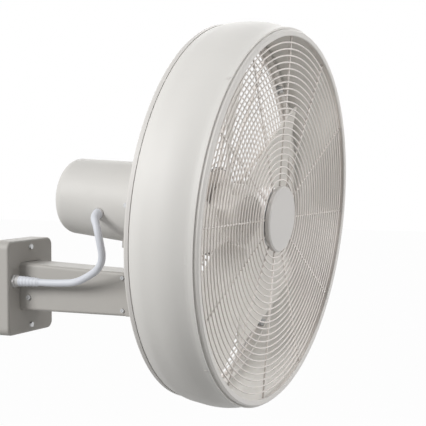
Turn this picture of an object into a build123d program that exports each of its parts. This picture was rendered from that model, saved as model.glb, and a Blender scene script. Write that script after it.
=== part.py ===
from build123d import *
import os
from math import cos, pi, radians, sin, sqrt, tan

# A wall mounted drum fan. All sizes are in millimetres. The origin is the middle of the wall plate's back face:
# the wall is the plane y = 0, the room lies towards -Y, and Z is up. The whole head (drum, guards, motor and blades)
# looks down a little, so its pieces are placed by their depth behind the front ring, along the fan's own axis.

os.makedirs("parts", exist_ok=True)

# ---- wall plate, its cover and the foot of the arm
PLATE_WIDTH = 96.0
PLATE_HEIGHT = 112.0
PLATE_THICK = 5.0
PLATE_CORNER = 8.0
WALL_HOLE = 7.0
WALL_HOLE_X = 40.0
WALL_HOLE_Z = 49.0
COVER_DEPTH = 27.0
COVER_WALL = 2.0
COVER_GAP = 1.5
COVER_EDGE = 3.0
ARM_PASS = 0.5
POST_D = 9.0
POST_Z = 50.0
COVER_SCREW_D = 4.0
SCREW_FIT = 0.1
PAN_HEAD = 0.92
PAN_RISE = 0.55
PAN_TAPER = 15.0
LOW_HEAD = 0.8
LOW_RISE = 0.4
RECESS_LONG = 0.95
RECESS_WIDE = 0.2
RECESS_DEEP = 0.25
PAST = 1.0
FLANGE_THICK = 6.0
FLANGE_WIDTH = 52.0
FLANGE_TOP = 44.0
FLANGE_BOTTOM = 43.0
SPIGOT_LENGTH = 42.0
SPIGOT_WALL = 4.0
FOOT_BOLT_D = 6.0
FOOT_BOLT_X = 14.0
FOOT_BOLT_EDGE = 7.0
FOOT_HEAD_D = 10.0
FOOT_SOCKET_D = 5.4
FOOT_SOCKET_DEPTH = 3.0
ROOT_SCREW_D = 4.0
ROOT_SCREW_Y = 40.0
ROOT_SCREW_Z = 12.0
TERMINAL_WIDTH = 14.0
TERMINAL_DEPTH = 14.0
TERMINAL_HEIGHT = 34.0
TERMINAL_X = -39.0
TERMINAL_Z = -26.0
TERMINAL_WAYS = 3
TERMINAL_HOLE = 3.2
TERMINAL_HOLE_DEPTH = 8.4
TERMINAL_CORNER = 1.5

# ---- arm: a box tube, level underneath, its top rising towards the wall
ARM_WIDTH = 50.0
ARM_BOTTOM = -28.5
ARM_TOP_FRONT = 24.8
ARM_TOP_WALL = 32.1
ARM_CORNER = 3.5
ARM_INNER_CORNER = 0.8
ARM_WALL = 2.5
ARM_END = 179.0
SLIDE_FIT = 0.15
PLUG_LENGTH = 32.0
PLUG_WALL = 4.0
END_SCREW_D = 3.0
END_SCREW_BACK = 3.9
END_SCREW_HIGH = 18.6
END_SCREW_LOW = -21.6
END_SCREW_SHANK = 7.0

# ---- swivel
SWIVEL_REACH = 205.0
PIN_D = 14.0
BUSH_WALL = 2.0
BUSH_LENGTH = 14.0
BUSH_FLANGE = 24.0
BUSH_FLANGE_THICK = 1.5
NUT_POCKET_D = 34.0
NUT_POCKET_DEPTH = 22.0
NOSE_CHAMFER = 1.0
RUNNING_FIT = 0.05
THRUST_THICK = 1.0
FACE_GAP = 0.1
YOKE_THICK = 4.0
YOKE_WIDTH = 36.0
YOKE_LENGTH = 42.0
CHEEK_RADIUS = 9.5
PIN_HEAD_D = 22.0
PIN_HEAD = 3.0
PIN_THREAD_D = 12.0
PIN_TAIL = 14.0
SWIVEL_NUT_AF = 18.0
SWIVEL_NUT_THICK = 9.0

# ---- tilt
PIVOT_Z = 42.0
HEAD_TILT = 4.74
PIVOT_DEPTH = 160.0
PIVOT_DROP = 65.5
TILT_BOLT_D = 8.0
TILT_HEAD_AF = 13.0
TILT_HEAD = 5.3
TILT_NUT = 6.5
TILT_TAIL = 1.5
FRICTION_THICK = 1.0
FRICTION_D = 17.0
LUG_THICK = 4.0
LUG_RADIUS = 9.5
LUG_FOOT = 17.0
LUG_ROOT = 1.0
SADDLE_LENGTH = 68.0
SADDLE_GAP = 1.2
SADDLE_CORNER = 4.0
SADDLE_SCREW_D = 5.0
SADDLE_SCREW_X = 11.0
SADDLE_SCREW_STEP = 56.0

# ---- head, by depth behind the plane of the front ring
RING_OUTER = 220.0
RING_INNER = 212.5
RING_FRONT = -3.5
RING_FACE = 2.2
RING_BACK = 1.5
RING_SKIRT = 9.0
RING_SKIRT_THICK = 2.0
RING_BEVEL = 2.0
RING_INNER_BEVEL = 0.8
DRUM_LIP = 222.2
DRUM_BELLY = 227.0
DRUM_BELLY_DEPTH = 41.0
DRUM_REAR = 221.0
DRUM_FRONT_DEPTH = 2.0
DRUM_REAR_DEPTH = 77.0
DRUM_WALL = 2.0
LIP_END = 7.0
REAR_RING_OUTER = 221.8
REAR_RING_INNER = 215.5
REAR_RING_END = 83.3
REAR_RING_HOOK = 8.0
REAR_RING_ROUND = 2.4
SEAM = 0.3

WIRE_RINGS = 22
WIRE_FIRST = 205.1
WIRE_LAST = 45.9
WIRE_D = 2.0
WIRE_FLATS = 8
SPOKE_SIZE = 2.4
SPOKES = 12
SPOKE_BEHIND = 1.6
RIM_WIRE = 214.8
RIM_WIRE_D = 3.0
RIM_WIRE_BACK = 0.4
CORE_WIRE = 30.0
GUARD_DEPTH = 0.2
REAR_GUARD_DEPTH = 80.0
REAR_SPOKE_SIZE = 2.6
REAR_WIRE_AHEAD = 1.7
REAR_RIM_AHEAD = 1.2
SPOKE_ROOT = 6.0

CAP_RADIUS = 38.6
CAP_FRONT = -5.5
CAP_WALL = 2.2
CAP_BEVEL = 1.6
CAP_BOSS_R = 6.4
CLAMP_RADIUS = 35.0
CLAMP_THICK = 2.5
CAP_SCREW_D = 4.0
LATCH_WIDTH = 6.0
LATCH_LENGTH = 12.0
LATCH_THICK = 2.0
LATCH_CORNER = 1.2
RING_SCREWS = 4
RING_SCREW_D = 4.0
RING_SCREW_DEPTH = 5.5
RING_SCREW_PROUD = 0.4
CLIPS = 4
CLIP_THICK = 2.0
CLIP_WIDTH = 10.0
CLIP_CORNER = 0.8
CLIP_REACH = 6.0
CLIP_LIP = 7.0
CLIP_LIP_THICK = 1.5
CLIP_GAP = 0.3

# ---- motor
MOTOR_FRONT = 84.5
HOUSING_FRONT_R = 53.5
HOUSING_REAR_R = 47.0
HOUSING_END = 283.0
HOUSING_ROUND = 15.0
HOUSING_WALL = 2.5
SHIELD_FLANGE = 2.0
SHIELD_DEPTH = 9.0
BEARING_OUTER = 26.0
BEARING_INNER = 10.0
BEARING_WIDTH = 8.0
BEARING_RACE = 3.0
BEARING_GROOVE = 0.4
BEARING_CHAMFER = 0.6
BEARING_SEAT = 4.0
SHAFT_CLEAR = 1.0
SHAFT_D = 10.0
SHAFT_THREAD_D = 8.0
SHAFT_START = 30.0
SHAFT_STEP = 44.0
REAR_SHIELD = 172.0
REAR_SHIELD_WEB = 4.0
SHIELD_FIT = 0.1
STATOR_FRONT = 108.0
STATOR_STACK = 50.0
STATOR_R = 46.0
STATOR_BORE = 27.0
AIR_GAP = 0.4
COIL_INNER = 30.0
COIL_OUTER = 37.5
COIL_LENGTH = 9.0
COIL_ROUND = 1.5
MOTOR_BOLT_D = 4.0
MOTOR_BOLT_R = 41.5
MOTOR_BOLTS = 4
GUARD_BOLT_D = 5.0
GUARD_BOLT_R = 30.0
HUB_PLATE_R = 50.0
HUB_PLATE_THICK = 3.2
HOUSING_SCREW_D = 4.0
HOUSING_SCREW_TURNS = (0.0, 90.0, 180.0)
CAPACITOR_D = 28.0
CAPACITOR_LENGTH = 50.0
CAPACITOR_EDGE = 1.5
BOARD_DEPTH = 240.0
BOARD_THICK = 1.6
BOARD_R = 40.0
POST_R = 34.0
BOARD_POST_D = 6.0
BOARD_POSTS = 3
BOARD_PART_HEIGHT = 10.0
RELAY = (18.0, 14.0)
RELAY_PLACE = (-14.0, 8.0)
CHOKE = (12.0, 20.0)
CHOKE_PLACE = (14.0, -10.0)
FILTER_D = 12.0
FILTER_PLACE = (12.0, 18.0)

# ---- blades
BLADES = 5
BLADE_TIP = 190.0
BLADE_FIRST = 30.0
BLADE_THICK = 2.2
HUB_R = 36.0
HUB_WALL = 3.0
HUB_FRONT = 40.0
HUB_BACK = 74.0
BOSS_R = 12.0
HUB_RIB_THICK = 3.0
HUB_RIB_SINK = 2.0
HUB_FACE_THICK = 4.0
NUT_R = 23.0
NUT_LENGTH = 11.0
NUT_FACE_R = 18.0
NUT_BEVEL = 4.0
DRIVE_PIN_D = 4.0
DRIVE_PIN_LENGTH = 22.0
DRIVE_SLOT = 22.6
DRIVE_PIN_DEPTH = 70.0

# ---- cord
CORD_D = 9.0
EXIT_RUN = 9.0
GROMMET_DEPTH = 214.5
GROMMET_ANGLE = 16.3
GROMMET_D = 14.5
GROMMET_LIP = 2.0
GROMMET_NECK = 12.0
GROMMET_ROUND = 0.9
GLAND_X = -38.0
GLAND_Z = 9.7
GLAND_D = 18.0
GLAND_NECK = 14.0
GLAND_LENGTH = 9.0
GLAND_HEX = 4.0
GLAND_TAPER = 8.0

# ---- the fan's own axis, and planes along it
TILT = radians(HEAD_TILT)
REARWARD = Vector(0, cos(TILT), sin(TILT))
UPWARD = Vector(0, -sin(TILT), cos(TILT))
PIVOT = Vector(0, -SWIVEL_REACH, PIVOT_Z)
HEAD = PIVOT - REARWARD * PIVOT_DEPTH + UPWARD * PIVOT_DROP
FAN_AXIS = Axis(HEAD, REARWARD)
SECTION = Plane(origin=HEAD, x_dir=UPWARD, z_dir=(-1, 0, 0))


def across(depth):
    """The plane square to the fan's axis at a depth behind the front ring: x to the right, y up, z to the front."""
    return Plane(origin=HEAD + REARWARD * depth, x_dir=(1, 0, 0), z_dir=-REARWARD)


def outward(depth, angle, radius):
    """A plane on the fan's axis side of a round piece, facing outward; the angle is seen from the front, from +X."""
    way = Vector(1, 0, 0) * cos(radians(angle)) + UPWARD * sin(radians(angle))
    return Plane(origin=HEAD + REARWARD * depth + way * radius, x_dir=REARWARD, z_dir=way)


def write(piece, name):
    piece.part.label = name
    export_step(piece.part, f"parts/{name}.step")


# ---- the arm's section at a distance from the wall
def arm_height(away):
    rise = (ARM_TOP_WALL - ARM_TOP_FRONT) * (1 - away / ARM_END)
    return ARM_TOP_FRONT + rise - ARM_BOTTOM


def arm_section(away, inset):
    """The arm's outline at a distance from the wall, drawn in by the inset all round."""
    side = ARM_WIDTH / 2 - inset
    low = ARM_BOTTOM + inset
    high = ARM_BOTTOM + arm_height(away) - inset
    with BuildSketch(Plane.XZ.offset(away)) as outline:
        with BuildLine():
            FilletPolyline(
                (-side, low), (side, low), (side, high), (-side, high),
                radius=max(ARM_CORNER - inset, ARM_INNER_CORNER), close=True,
            )
        make_face()
    return outline.sketch


# ---- wall plate with two posts for the cover
FLANGE_FACE = PLATE_THICK + FLANGE_THICK
FOOT_BOLT_TOP = FLANGE_TOP - FOOT_BOLT_EDGE
FOOT_BOLT_LOW = FOOT_BOLT_EDGE - FLANGE_BOTTOM
FOOT_BOLTS = [(x, z) for x in (-FOOT_BOLT_X, FOOT_BOLT_X) for z in (FOOT_BOLT_LOW, FOOT_BOLT_TOP)]
COVER_WIDTH = PLATE_WIDTH + 2 * (COVER_WALL + COVER_GAP)
COVER_HEIGHT = PLATE_HEIGHT + 2 * (COVER_WALL + COVER_GAP)
POST_LENGTH = COVER_DEPTH - COVER_WALL - PLATE_THICK

with BuildPart() as wall_plate:
    with BuildSketch(Plane.XZ):
        RectangleRounded(PLATE_WIDTH, PLATE_HEIGHT, PLATE_CORNER)
        with GridLocations(2 * WALL_HOLE_X, 2 * WALL_HOLE_Z, 2, 2):
            Circle(WALL_HOLE / 2, mode=Mode.SUBTRACT)
        with Locations(*FOOT_BOLTS):
            Circle(FOOT_BOLT_D / 2, mode=Mode.SUBTRACT)
    extrude(amount=PLATE_THICK)
    with BuildSketch(Plane.XZ.offset(PLATE_THICK)):
        with GridLocations(0, 2 * POST_Z, 1, 2):
            Circle(POST_D / 2)
    extrude(amount=POST_LENGTH)
    with BuildSketch(Plane.XZ.offset(PLATE_THICK)):
        with GridLocations(0, 2 * POST_Z, 1, 2):
            Circle(COVER_SCREW_D / 2)
    extrude(amount=POST_LENGTH, mode=Mode.SUBTRACT)
write(wall_plate, "wall_plate")

with BuildPart() as wall_cover:
    with BuildSketch(Plane.XZ):
        RectangleRounded(COVER_WIDTH, COVER_HEIGHT, PLATE_CORNER + COVER_WALL)
    extrude(amount=COVER_DEPTH)
    fillet(wall_cover.faces().sort_by(Axis.Y)[0].edges(), radius=COVER_EDGE)
    with BuildSketch(Plane.XZ):
        RectangleRounded(COVER_WIDTH - 2 * COVER_WALL, COVER_HEIGHT - 2 * COVER_WALL, PLATE_CORNER)
    extrude(amount=COVER_DEPTH - COVER_WALL, mode=Mode.SUBTRACT)
    loft(
        [arm_section(COVER_DEPTH - 2 * COVER_WALL, -ARM_PASS), arm_section(COVER_DEPTH + PAST, -ARM_PASS)],
        mode=Mode.SUBTRACT,
    )
    with BuildSketch(Plane.XZ.offset(COVER_DEPTH - 2 * COVER_WALL)):
        with Locations((GLAND_X, GLAND_Z)):
            Circle(GLAND_NECK / 2 + SCREW_FIT)
        with GridLocations(0, 2 * POST_Z, 1, 2):
            Circle(COVER_SCREW_D / 2 + SCREW_FIT)
    extrude(amount=2 * COVER_WALL + PAST, mode=Mode.SUBTRACT)
write(wall_cover, "wall_cover")

with BuildPart() as cover_screws:
    with BuildSketch(Plane.XZ.offset(PLATE_THICK + COVER_WALL)):
        with GridLocations(0, 2 * POST_Z, 1, 2):
            Circle(COVER_SCREW_D / 2)
    extrude(amount=COVER_DEPTH - PLATE_THICK - COVER_WALL)
    with BuildSketch(Plane.XZ.offset(COVER_DEPTH)):
        with GridLocations(0, 2 * POST_Z, 1, 2):
            Circle(COVER_SCREW_D * PAN_HEAD)
    extrude(amount=COVER_SCREW_D * PAN_RISE, taper=PAN_TAPER)
write(cover_screws, "cover_screws")

with BuildPart() as terminal_block:
    with BuildSketch(Plane.XZ.offset(PLATE_THICK)):
        with Locations((TERMINAL_X, TERMINAL_Z)):
            RectangleRounded(TERMINAL_WIDTH, TERMINAL_HEIGHT, TERMINAL_CORNER)
    extrude(amount=TERMINAL_DEPTH)
    with BuildSketch(Plane.XZ.offset(PLATE_THICK + TERMINAL_DEPTH)):
        with Locations((TERMINAL_X, TERMINAL_Z)):
            with GridLocations(0, TERMINAL_HEIGHT / TERMINAL_WAYS, 1, TERMINAL_WAYS):
                Circle(TERMINAL_HOLE / 2)
    extrude(amount=-TERMINAL_HOLE_DEPTH, mode=Mode.SUBTRACT)
write(terminal_block, "terminal_block")

# ---- the arm's foot: a flange bolted to the plate, with a hollow spigot inside the arm
SPIGOT_END = FLANGE_FACE + SPIGOT_LENGTH
SPIGOT_INSET = ARM_WALL + SLIDE_FIT

with BuildPart() as arm_spigot:
    with BuildSketch(Plane.XZ.offset(PLATE_THICK)):
        with Locations((0, (FLANGE_TOP - FLANGE_BOTTOM) / 2)):
            RectangleRounded(FLANGE_WIDTH, FLANGE_TOP + FLANGE_BOTTOM, ARM_CORNER)
    extrude(amount=FLANGE_THICK)
    loft([arm_section(FLANGE_FACE, SPIGOT_INSET), arm_section(SPIGOT_END, SPIGOT_INSET)])
    loft(
        [
            arm_section(PLATE_THICK, SPIGOT_INSET + SPIGOT_WALL),
            arm_section(SPIGOT_END, SPIGOT_INSET + SPIGOT_WALL),
        ],
        mode=Mode.SUBTRACT,
    )
    with BuildSketch(Plane.XZ.offset(PLATE_THICK)):
        with Locations(*FOOT_BOLTS):
            Circle(FOOT_BOLT_D / 2 + SCREW_FIT)
    extrude(amount=FLANGE_THICK, mode=Mode.SUBTRACT)
    with BuildSketch(Plane.YZ.offset(-ARM_WIDTH)):
        with Locations((-ROOT_SCREW_Y, 0)):
            with GridLocations(0, 2 * ROOT_SCREW_Z, 1, 2):
                Circle(ROOT_SCREW_D / 2)
    extrude(amount=2 * ARM_WIDTH, mode=Mode.SUBTRACT)
write(arm_spigot, "arm_spigot")

with BuildPart() as spigot_bolts:
    with BuildSketch(Plane.XZ):
        with Locations(*FOOT_BOLTS):
            Circle(FOOT_BOLT_D / 2 - SCREW_FIT / 4)
    extrude(amount=FLANGE_FACE)
    with BuildSketch(Plane.XZ.offset(FLANGE_FACE)):
        with Locations(*FOOT_BOLTS):
            Circle(FOOT_HEAD_D / 2)
    extrude(amount=FOOT_BOLT_D)
    with BuildSketch(Plane.XZ.offset(FLANGE_FACE + FOOT_BOLT_D)):
        with Locations(*FOOT_BOLTS):
            RegularPolygon(FOOT_SOCKET_D / 2, 6)
    extrude(amount=-FOOT_SOCKET_DEPTH, mode=Mode.SUBTRACT)
write(spigot_bolts, "spigot_bolts")

# ---- arm tube
END_SCREW_Y = ARM_END - END_SCREW_BACK
END_SCREWS = [(-END_SCREW_Y, END_SCREW_HIGH), (-END_SCREW_Y, END_SCREW_LOW)]

with BuildPart() as arm:
    loft([arm_section(FLANGE_FACE, 0), arm_section(ARM_END, 0)])
    loft([arm_section(FLANGE_FACE, ARM_WALL), arm_section(ARM_END, ARM_WALL)], mode=Mode.SUBTRACT)
    with BuildSketch(Plane.YZ.offset(-ARM_WIDTH)):
        with Locations((-ROOT_SCREW_Y, 0)):
            with GridLocations(0, 2 * ROOT_SCREW_Z, 1, 2):
                Circle(ROOT_SCREW_D / 2 + SCREW_FIT)
        with Locations(*END_SCREWS):
            Circle(END_SCREW_D / 2 + SCREW_FIT)
    extrude(amount=2 * ARM_WIDTH, mode=Mode.SUBTRACT)
write(arm, "arm")


def side_screws(places, size, shank):
    """Pan head screws in both sides of the arm, through its wall and into what is inside."""
    with BuildPart() as screws:
        for side in (-1, 1):
            face = Plane(origin=(side * ARM_WIDTH / 2, 0, 0), x_dir=(0, side, 0), z_dir=(side, 0, 0))
            with BuildSketch(face):
                with Locations(*[(side * y, z) for y, z in places]):
                    Circle(size / 2 - SCREW_FIT / 4)
            extrude(amount=-shank)
            with BuildSketch(face):
                with Locations(*[(side * y, z) for y, z in places]):
                    Circle(size * PAN_HEAD)
            extrude(amount=size * PAN_RISE, taper=PAN_TAPER)
            with BuildSketch(face.offset(size * PAN_RISE)):
                with Locations(*[(side * y, z) for y, z in places]):
                    Rectangle(size * RECESS_LONG, size * RECESS_WIDE)
                    Rectangle(size * RECESS_WIDE, size * RECESS_LONG)
            extrude(amount=-size * RECESS_DEEP, mode=Mode.SUBTRACT)
    return screws


arm_root_screws = side_screws(
    [(-ROOT_SCREW_Y, -ROOT_SCREW_Z), (-ROOT_SCREW_Y, ROOT_SCREW_Z)], ROOT_SCREW_D, SPIGOT_INSET + SPIGOT_WALL
)
write(arm_root_screws, "arm_root_screws")
arm_end_screws = side_screws(END_SCREWS, END_SCREW_D, END_SCREW_SHANK)
write(arm_end_screws, "arm_end_screws")

# ---- end fitting: a plug inside the arm and a round-nosed block that holds the swivel bushes
BUSH_OUTER = PIN_D + 2 * (RUNNING_FIT + BUSH_WALL)
POCKET_ROOF = ARM_BOTTOM + NUT_POCKET_DEPTH

with BuildPart() as arm_end:
    with BuildSketch(Plane.XY.offset(ARM_BOTTOM)):
        with Locations((0, -SWIVEL_REACH)):
            Circle(ARM_WIDTH / 2)
        with Locations((0, -(SWIVEL_REACH + ARM_END) / 2)):
            Rectangle(ARM_WIDTH, SWIVEL_REACH - ARM_END)
    extrude(amount=ARM_TOP_FRONT - ARM_BOTTOM)
    chamfer(arm_end.faces().filter_by(Axis.Z).edges().filter_by(GeomType.LINE, reverse=True), length=NOSE_CHAMFER)
    loft([arm_section(ARM_END, SPIGOT_INSET), arm_section(ARM_END - PLUG_LENGTH, SPIGOT_INSET)])
    loft(
        [
            arm_section(ARM_END, SPIGOT_INSET + PLUG_WALL),
            arm_section(ARM_END - PLUG_LENGTH, SPIGOT_INSET + PLUG_WALL),
        ],
        mode=Mode.SUBTRACT,
    )
    with BuildSketch(Plane.XY.offset(ARM_BOTTOM)):
        with Locations((0, -SWIVEL_REACH)):
            Circle(NUT_POCKET_D / 2)
    extrude(amount=NUT_POCKET_DEPTH, mode=Mode.SUBTRACT)
    with BuildSketch(Plane.XY.offset(POCKET_ROOF)):
        with Locations((0, -SWIVEL_REACH)):
            Circle(BUSH_OUTER / 2 + SCREW_FIT / 4)
    extrude(amount=ARM_TOP_FRONT - POCKET_ROOF, mode=Mode.SUBTRACT)
    with BuildSketch(Plane.YZ.offset(-ARM_WIDTH)):
        with Locations(*END_SCREWS):
            Circle(END_SCREW_D / 2)
    extrude(amount=2 * ARM_WIDTH, mode=Mode.SUBTRACT)
write(arm_end, "arm_end")

# ---- two flanged bushes, one from above and one from the pocket below
with BuildPart() as swivel_bushes:
    for face, way in ((ARM_TOP_FRONT, 1), (POCKET_ROOF, -1)):
        with BuildSketch(Plane.XY.offset(face)):
            with Locations((0, -SWIVEL_REACH)):
                Circle(BUSH_FLANGE / 2)
        extrude(amount=way * BUSH_FLANGE_THICK)
        with BuildSketch(Plane.XY.offset(face)):
            with Locations((0, -SWIVEL_REACH)):
                Circle(BUSH_OUTER / 2)
        extrude(amount=-way * BUSH_LENGTH)
    with BuildSketch(Plane.XY.offset(POCKET_ROOF - BUSH_FLANGE)):
        with Locations((0, -SWIVEL_REACH)):
            Circle(PIN_D / 2 + RUNNING_FIT)
    extrude(amount=ARM_TOP_FRONT - POCKET_ROOF + 2 * BUSH_FLANGE, mode=Mode.SUBTRACT)
write(swivel_bushes, "swivel_bushes")

# ---- swivelling yoke on its pin
THRUST_BASE = ARM_TOP_FRONT + BUSH_FLANGE_THICK
YOKE_BASE = THRUST_BASE + THRUST_THICK + FACE_GAP
YOKE_FLOOR = YOKE_BASE + YOKE_THICK
PIN_FOOT = POCKET_ROOF - BUSH_FLANGE_THICK - FACE_GAP

with BuildPart() as thrust_washer:
    with BuildSketch(Plane.XY.offset(THRUST_BASE)):
        with Locations((0, -SWIVEL_REACH)):
            Circle(BUSH_FLANGE / 2)
            Circle(PIN_D / 2 + 2 * RUNNING_FIT, mode=Mode.SUBTRACT)
    extrude(amount=THRUST_THICK)
write(thrust_washer, "thrust_washer")

with BuildPart() as yoke:
    with BuildSketch(Plane.YZ.offset(-YOKE_WIDTH / 2)):
        with BuildLine():
            Polyline(
                (-SWIVEL_REACH - YOKE_LENGTH / 2, YOKE_BASE),
                (-SWIVEL_REACH + YOKE_LENGTH / 2, YOKE_BASE),
                (-SWIVEL_REACH + YOKE_LENGTH / 2, YOKE_FLOOR),
                (-SWIVEL_REACH + CHEEK_RADIUS, PIVOT_Z),
                (-SWIVEL_REACH - CHEEK_RADIUS, PIVOT_Z),
                (-SWIVEL_REACH - YOKE_LENGTH / 2, YOKE_FLOOR),
                close=True,
            )
        make_face()
        with Locations((-SWIVEL_REACH, PIVOT_Z)):
            Circle(CHEEK_RADIUS)
            Circle(TILT_BOLT_D / 2 + SCREW_FIT, mode=Mode.SUBTRACT)
    extrude(amount=YOKE_WIDTH)
    with BuildSketch(Plane.XY.offset(YOKE_FLOOR)):
        with Locations((0, -SWIVEL_REACH)):
            Rectangle(YOKE_WIDTH - 2 * YOKE_THICK, 2 * YOKE_LENGTH)
    extrude(amount=PIVOT_Z, mode=Mode.SUBTRACT)
    with BuildSketch(Plane.XY.offset(YOKE_BASE)):
        with Locations((0, -SWIVEL_REACH)):
            Circle(PIN_D / 2 + SCREW_FIT / 4)
    extrude(amount=YOKE_THICK, mode=Mode.SUBTRACT)
write(yoke, "yoke")

with BuildPart() as swivel_pin:
    with BuildSketch(Plane.XY.offset(YOKE_FLOOR)):
        with Locations((0, -SWIVEL_REACH)):
            Circle(PIN_HEAD_D / 2)
    extrude(amount=PIN_HEAD)
    with BuildSketch(Plane.XY.offset(YOKE_FLOOR)):
        with Locations((0, -SWIVEL_REACH)):
            Circle(PIN_D / 2)
    extrude(amount=PIN_FOOT - YOKE_FLOOR)
    with BuildSketch(Plane.XY.offset(PIN_FOOT)):
        with Locations((0, -SWIVEL_REACH)):
            Circle(PIN_THREAD_D / 2)
    extrude(amount=-PIN_TAIL)
write(swivel_pin, "swivel_pin")

with BuildPart() as swivel_nut:
    with BuildSketch(Plane.XY.offset(PIN_FOOT)):
        with Locations((0, -SWIVEL_REACH)):
            RegularPolygon(SWIVEL_NUT_AF / 2, 6, major_radius=False)
            Circle(PIN_THREAD_D / 2 + SCREW_FIT / 4, mode=Mode.SUBTRACT)
    extrude(amount=-SWIVEL_NUT_THICK)
write(swivel_nut, "swivel_nut")

# ---- tilt bolt, nut and the two friction washers between the cheeks and the saddle's lugs
LUG_INSIDE = YOKE_WIDTH / 2 + FRICTION_THICK + 2 * FACE_GAP
LUG_OUTSIDE = LUG_INSIDE + LUG_THICK
BOLT_HEAD_X = LUG_OUTSIDE + FACE_GAP

with BuildPart() as tilt_bolt:
    with BuildSketch(Plane.YZ.offset(-BOLT_HEAD_X)):
        with Locations((-SWIVEL_REACH, PIVOT_Z)):
            Circle(TILT_BOLT_D / 2)
    extrude(amount=2 * BOLT_HEAD_X + TILT_NUT + TILT_TAIL)
    with BuildSketch(Plane.YZ.offset(-BOLT_HEAD_X)):
        with Locations((-SWIVEL_REACH, PIVOT_Z)):
            RegularPolygon(TILT_HEAD_AF / 2, 6, major_radius=False)
    extrude(amount=-TILT_HEAD)
write(tilt_bolt, "tilt_bolt")

with BuildPart() as tilt_nut:
    with BuildSketch(Plane.YZ.offset(BOLT_HEAD_X)):
        with Locations((-SWIVEL_REACH, PIVOT_Z)):
            RegularPolygon(TILT_HEAD_AF / 2, 6, major_radius=False)
            Circle(TILT_BOLT_D / 2 + SCREW_FIT / 4, mode=Mode.SUBTRACT)
    extrude(amount=TILT_NUT)
write(tilt_nut, "tilt_nut")

with BuildPart() as friction_washers:
    for inside in (-LUG_INSIDE + FACE_GAP, YOKE_WIDTH / 2 + FACE_GAP):
        with BuildSketch(Plane.YZ.offset(inside)):
            with Locations((-SWIVEL_REACH, PIVOT_Z)):
                Circle(FRICTION_D / 2)
                Circle(TILT_BOLT_D / 2 + RUNNING_FIT, mode=Mode.SUBTRACT)
        extrude(amount=FRICTION_THICK)
write(friction_washers, "friction_washers")


# ---- motor housing: a long tapered can, closed and rounded at the back
def housing_radius(depth):
    """Outer radius of the housing's straight side at a depth."""
    along = (depth - MOTOR_FRONT) / (HOUSING_END - HOUSING_ROUND - MOTOR_FRONT)
    return HOUSING_FRONT_R + (HOUSING_REAR_R - HOUSING_FRONT_R) * along


def can_profile(inset):
    """Half section of the housing, drawn in by the inset, from its open front to the axis at the back."""
    side = HOUSING_REAR_R - inset
    back = HOUSING_END - inset
    bend = HOUSING_ROUND - inset
    turn = bend * (1 - sqrt(0.5))
    with BuildSketch(SECTION) as half:
        with BuildLine():
            Polyline((0, back), (0, MOTOR_FRONT), (HOUSING_FRONT_R - inset, MOTOR_FRONT), (side, back - bend))
            ThreePointArc((side, back - bend), (side - turn, back - turn), (side - bend, back))
            Line((side - bend, back), (0, back))
        make_face()
    return half.sketch


GROMMET_PLACE = outward(GROMMET_DEPTH, 180 + GROMMET_ANGLE, housing_radius(GROMMET_DEPTH) + SEAM)
SADDLE_FACE = PIVOT_DROP - CHEEK_RADIUS - SADDLE_GAP
SADDLE_SCREWS = [
    (x, PIVOT_DEPTH + step / 2) for x in (-SADDLE_SCREW_X, SADDLE_SCREW_X)
    for step in (-SADDLE_SCREW_STEP, SADDLE_SCREW_STEP)
]
UNDER = Plane(origin=HEAD - UPWARD * SADDLE_FACE, x_dir=(1, 0, 0), z_dir=UPWARD)
REAR_SCREW_DEPTH = REAR_SHIELD + BEARING_WIDTH / 2

with BuildPart() as motor_housing:
    add(can_profile(0))
    revolve(axis=FAN_AXIS)
    add(can_profile(HOUSING_WALL))
    revolve(axis=FAN_AXIS, mode=Mode.SUBTRACT)
    with BuildSketch(GROMMET_PLACE):
        Circle(GROMMET_NECK / 2 + SCREW_FIT)
    extrude(amount=HOUSING_WALL * 2, both=True, mode=Mode.SUBTRACT)
    for turn in HOUSING_SCREW_TURNS:
        with BuildSketch(outward(REAR_SCREW_DEPTH, turn, housing_radius(REAR_SCREW_DEPTH))):
            Circle(HOUSING_SCREW_D / 2 + SCREW_FIT)
        extrude(amount=HOUSING_WALL * 2, both=True, mode=Mode.SUBTRACT)
    with BuildSketch(UNDER):
        with Locations(*SADDLE_SCREWS):
            Circle(SADDLE_SCREW_D / 2 + SCREW_FIT)
    extrude(amount=HOUSING_FRONT_R / 2, mode=Mode.SUBTRACT)
write(motor_housing, "motor_housing")

# ---- saddle under the housing, with the two lugs of the tilt hinge
with BuildPart() as saddle:
    with BuildSketch(UNDER):
        with Locations((0, PIVOT_DEPTH)):
            RectangleRounded(2 * LUG_OUTSIDE, SADDLE_LENGTH, SADDLE_CORNER)
    extrude(amount=HOUSING_FRONT_R / 2)
    for side in (-1, 1):
        lug = Plane(origin=HEAD + Vector(side * LUG_INSIDE, 0, 0), x_dir=REARWARD, z_dir=(1, 0, 0))
        with BuildSketch(lug):
            with BuildLine():
                Polyline(
                    (PIVOT_DEPTH - LUG_FOOT, LUG_ROOT - SADDLE_FACE),
                    (PIVOT_DEPTH - LUG_RADIUS, -PIVOT_DROP),
                    (PIVOT_DEPTH + LUG_RADIUS, -PIVOT_DROP),
                    (PIVOT_DEPTH + LUG_FOOT, LUG_ROOT - SADDLE_FACE),
                    close=True,
                )
            make_face()
            with Locations((PIVOT_DEPTH, -PIVOT_DROP)):
                Circle(LUG_RADIUS)
                Circle(TILT_BOLT_D / 2 + RUNNING_FIT, mode=Mode.SUBTRACT)
        extrude(amount=side * LUG_THICK)
    add(can_profile(0))
    revolve(axis=FAN_AXIS, mode=Mode.SUBTRACT)
    with BuildSketch(UNDER):
        with Locations(*SADDLE_SCREWS):
            Circle(SADDLE_SCREW_D / 2 + SCREW_FIT)
    extrude(amount=HOUSING_FRONT_R / 2, mode=Mode.SUBTRACT)
write(saddle, "saddle")

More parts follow.
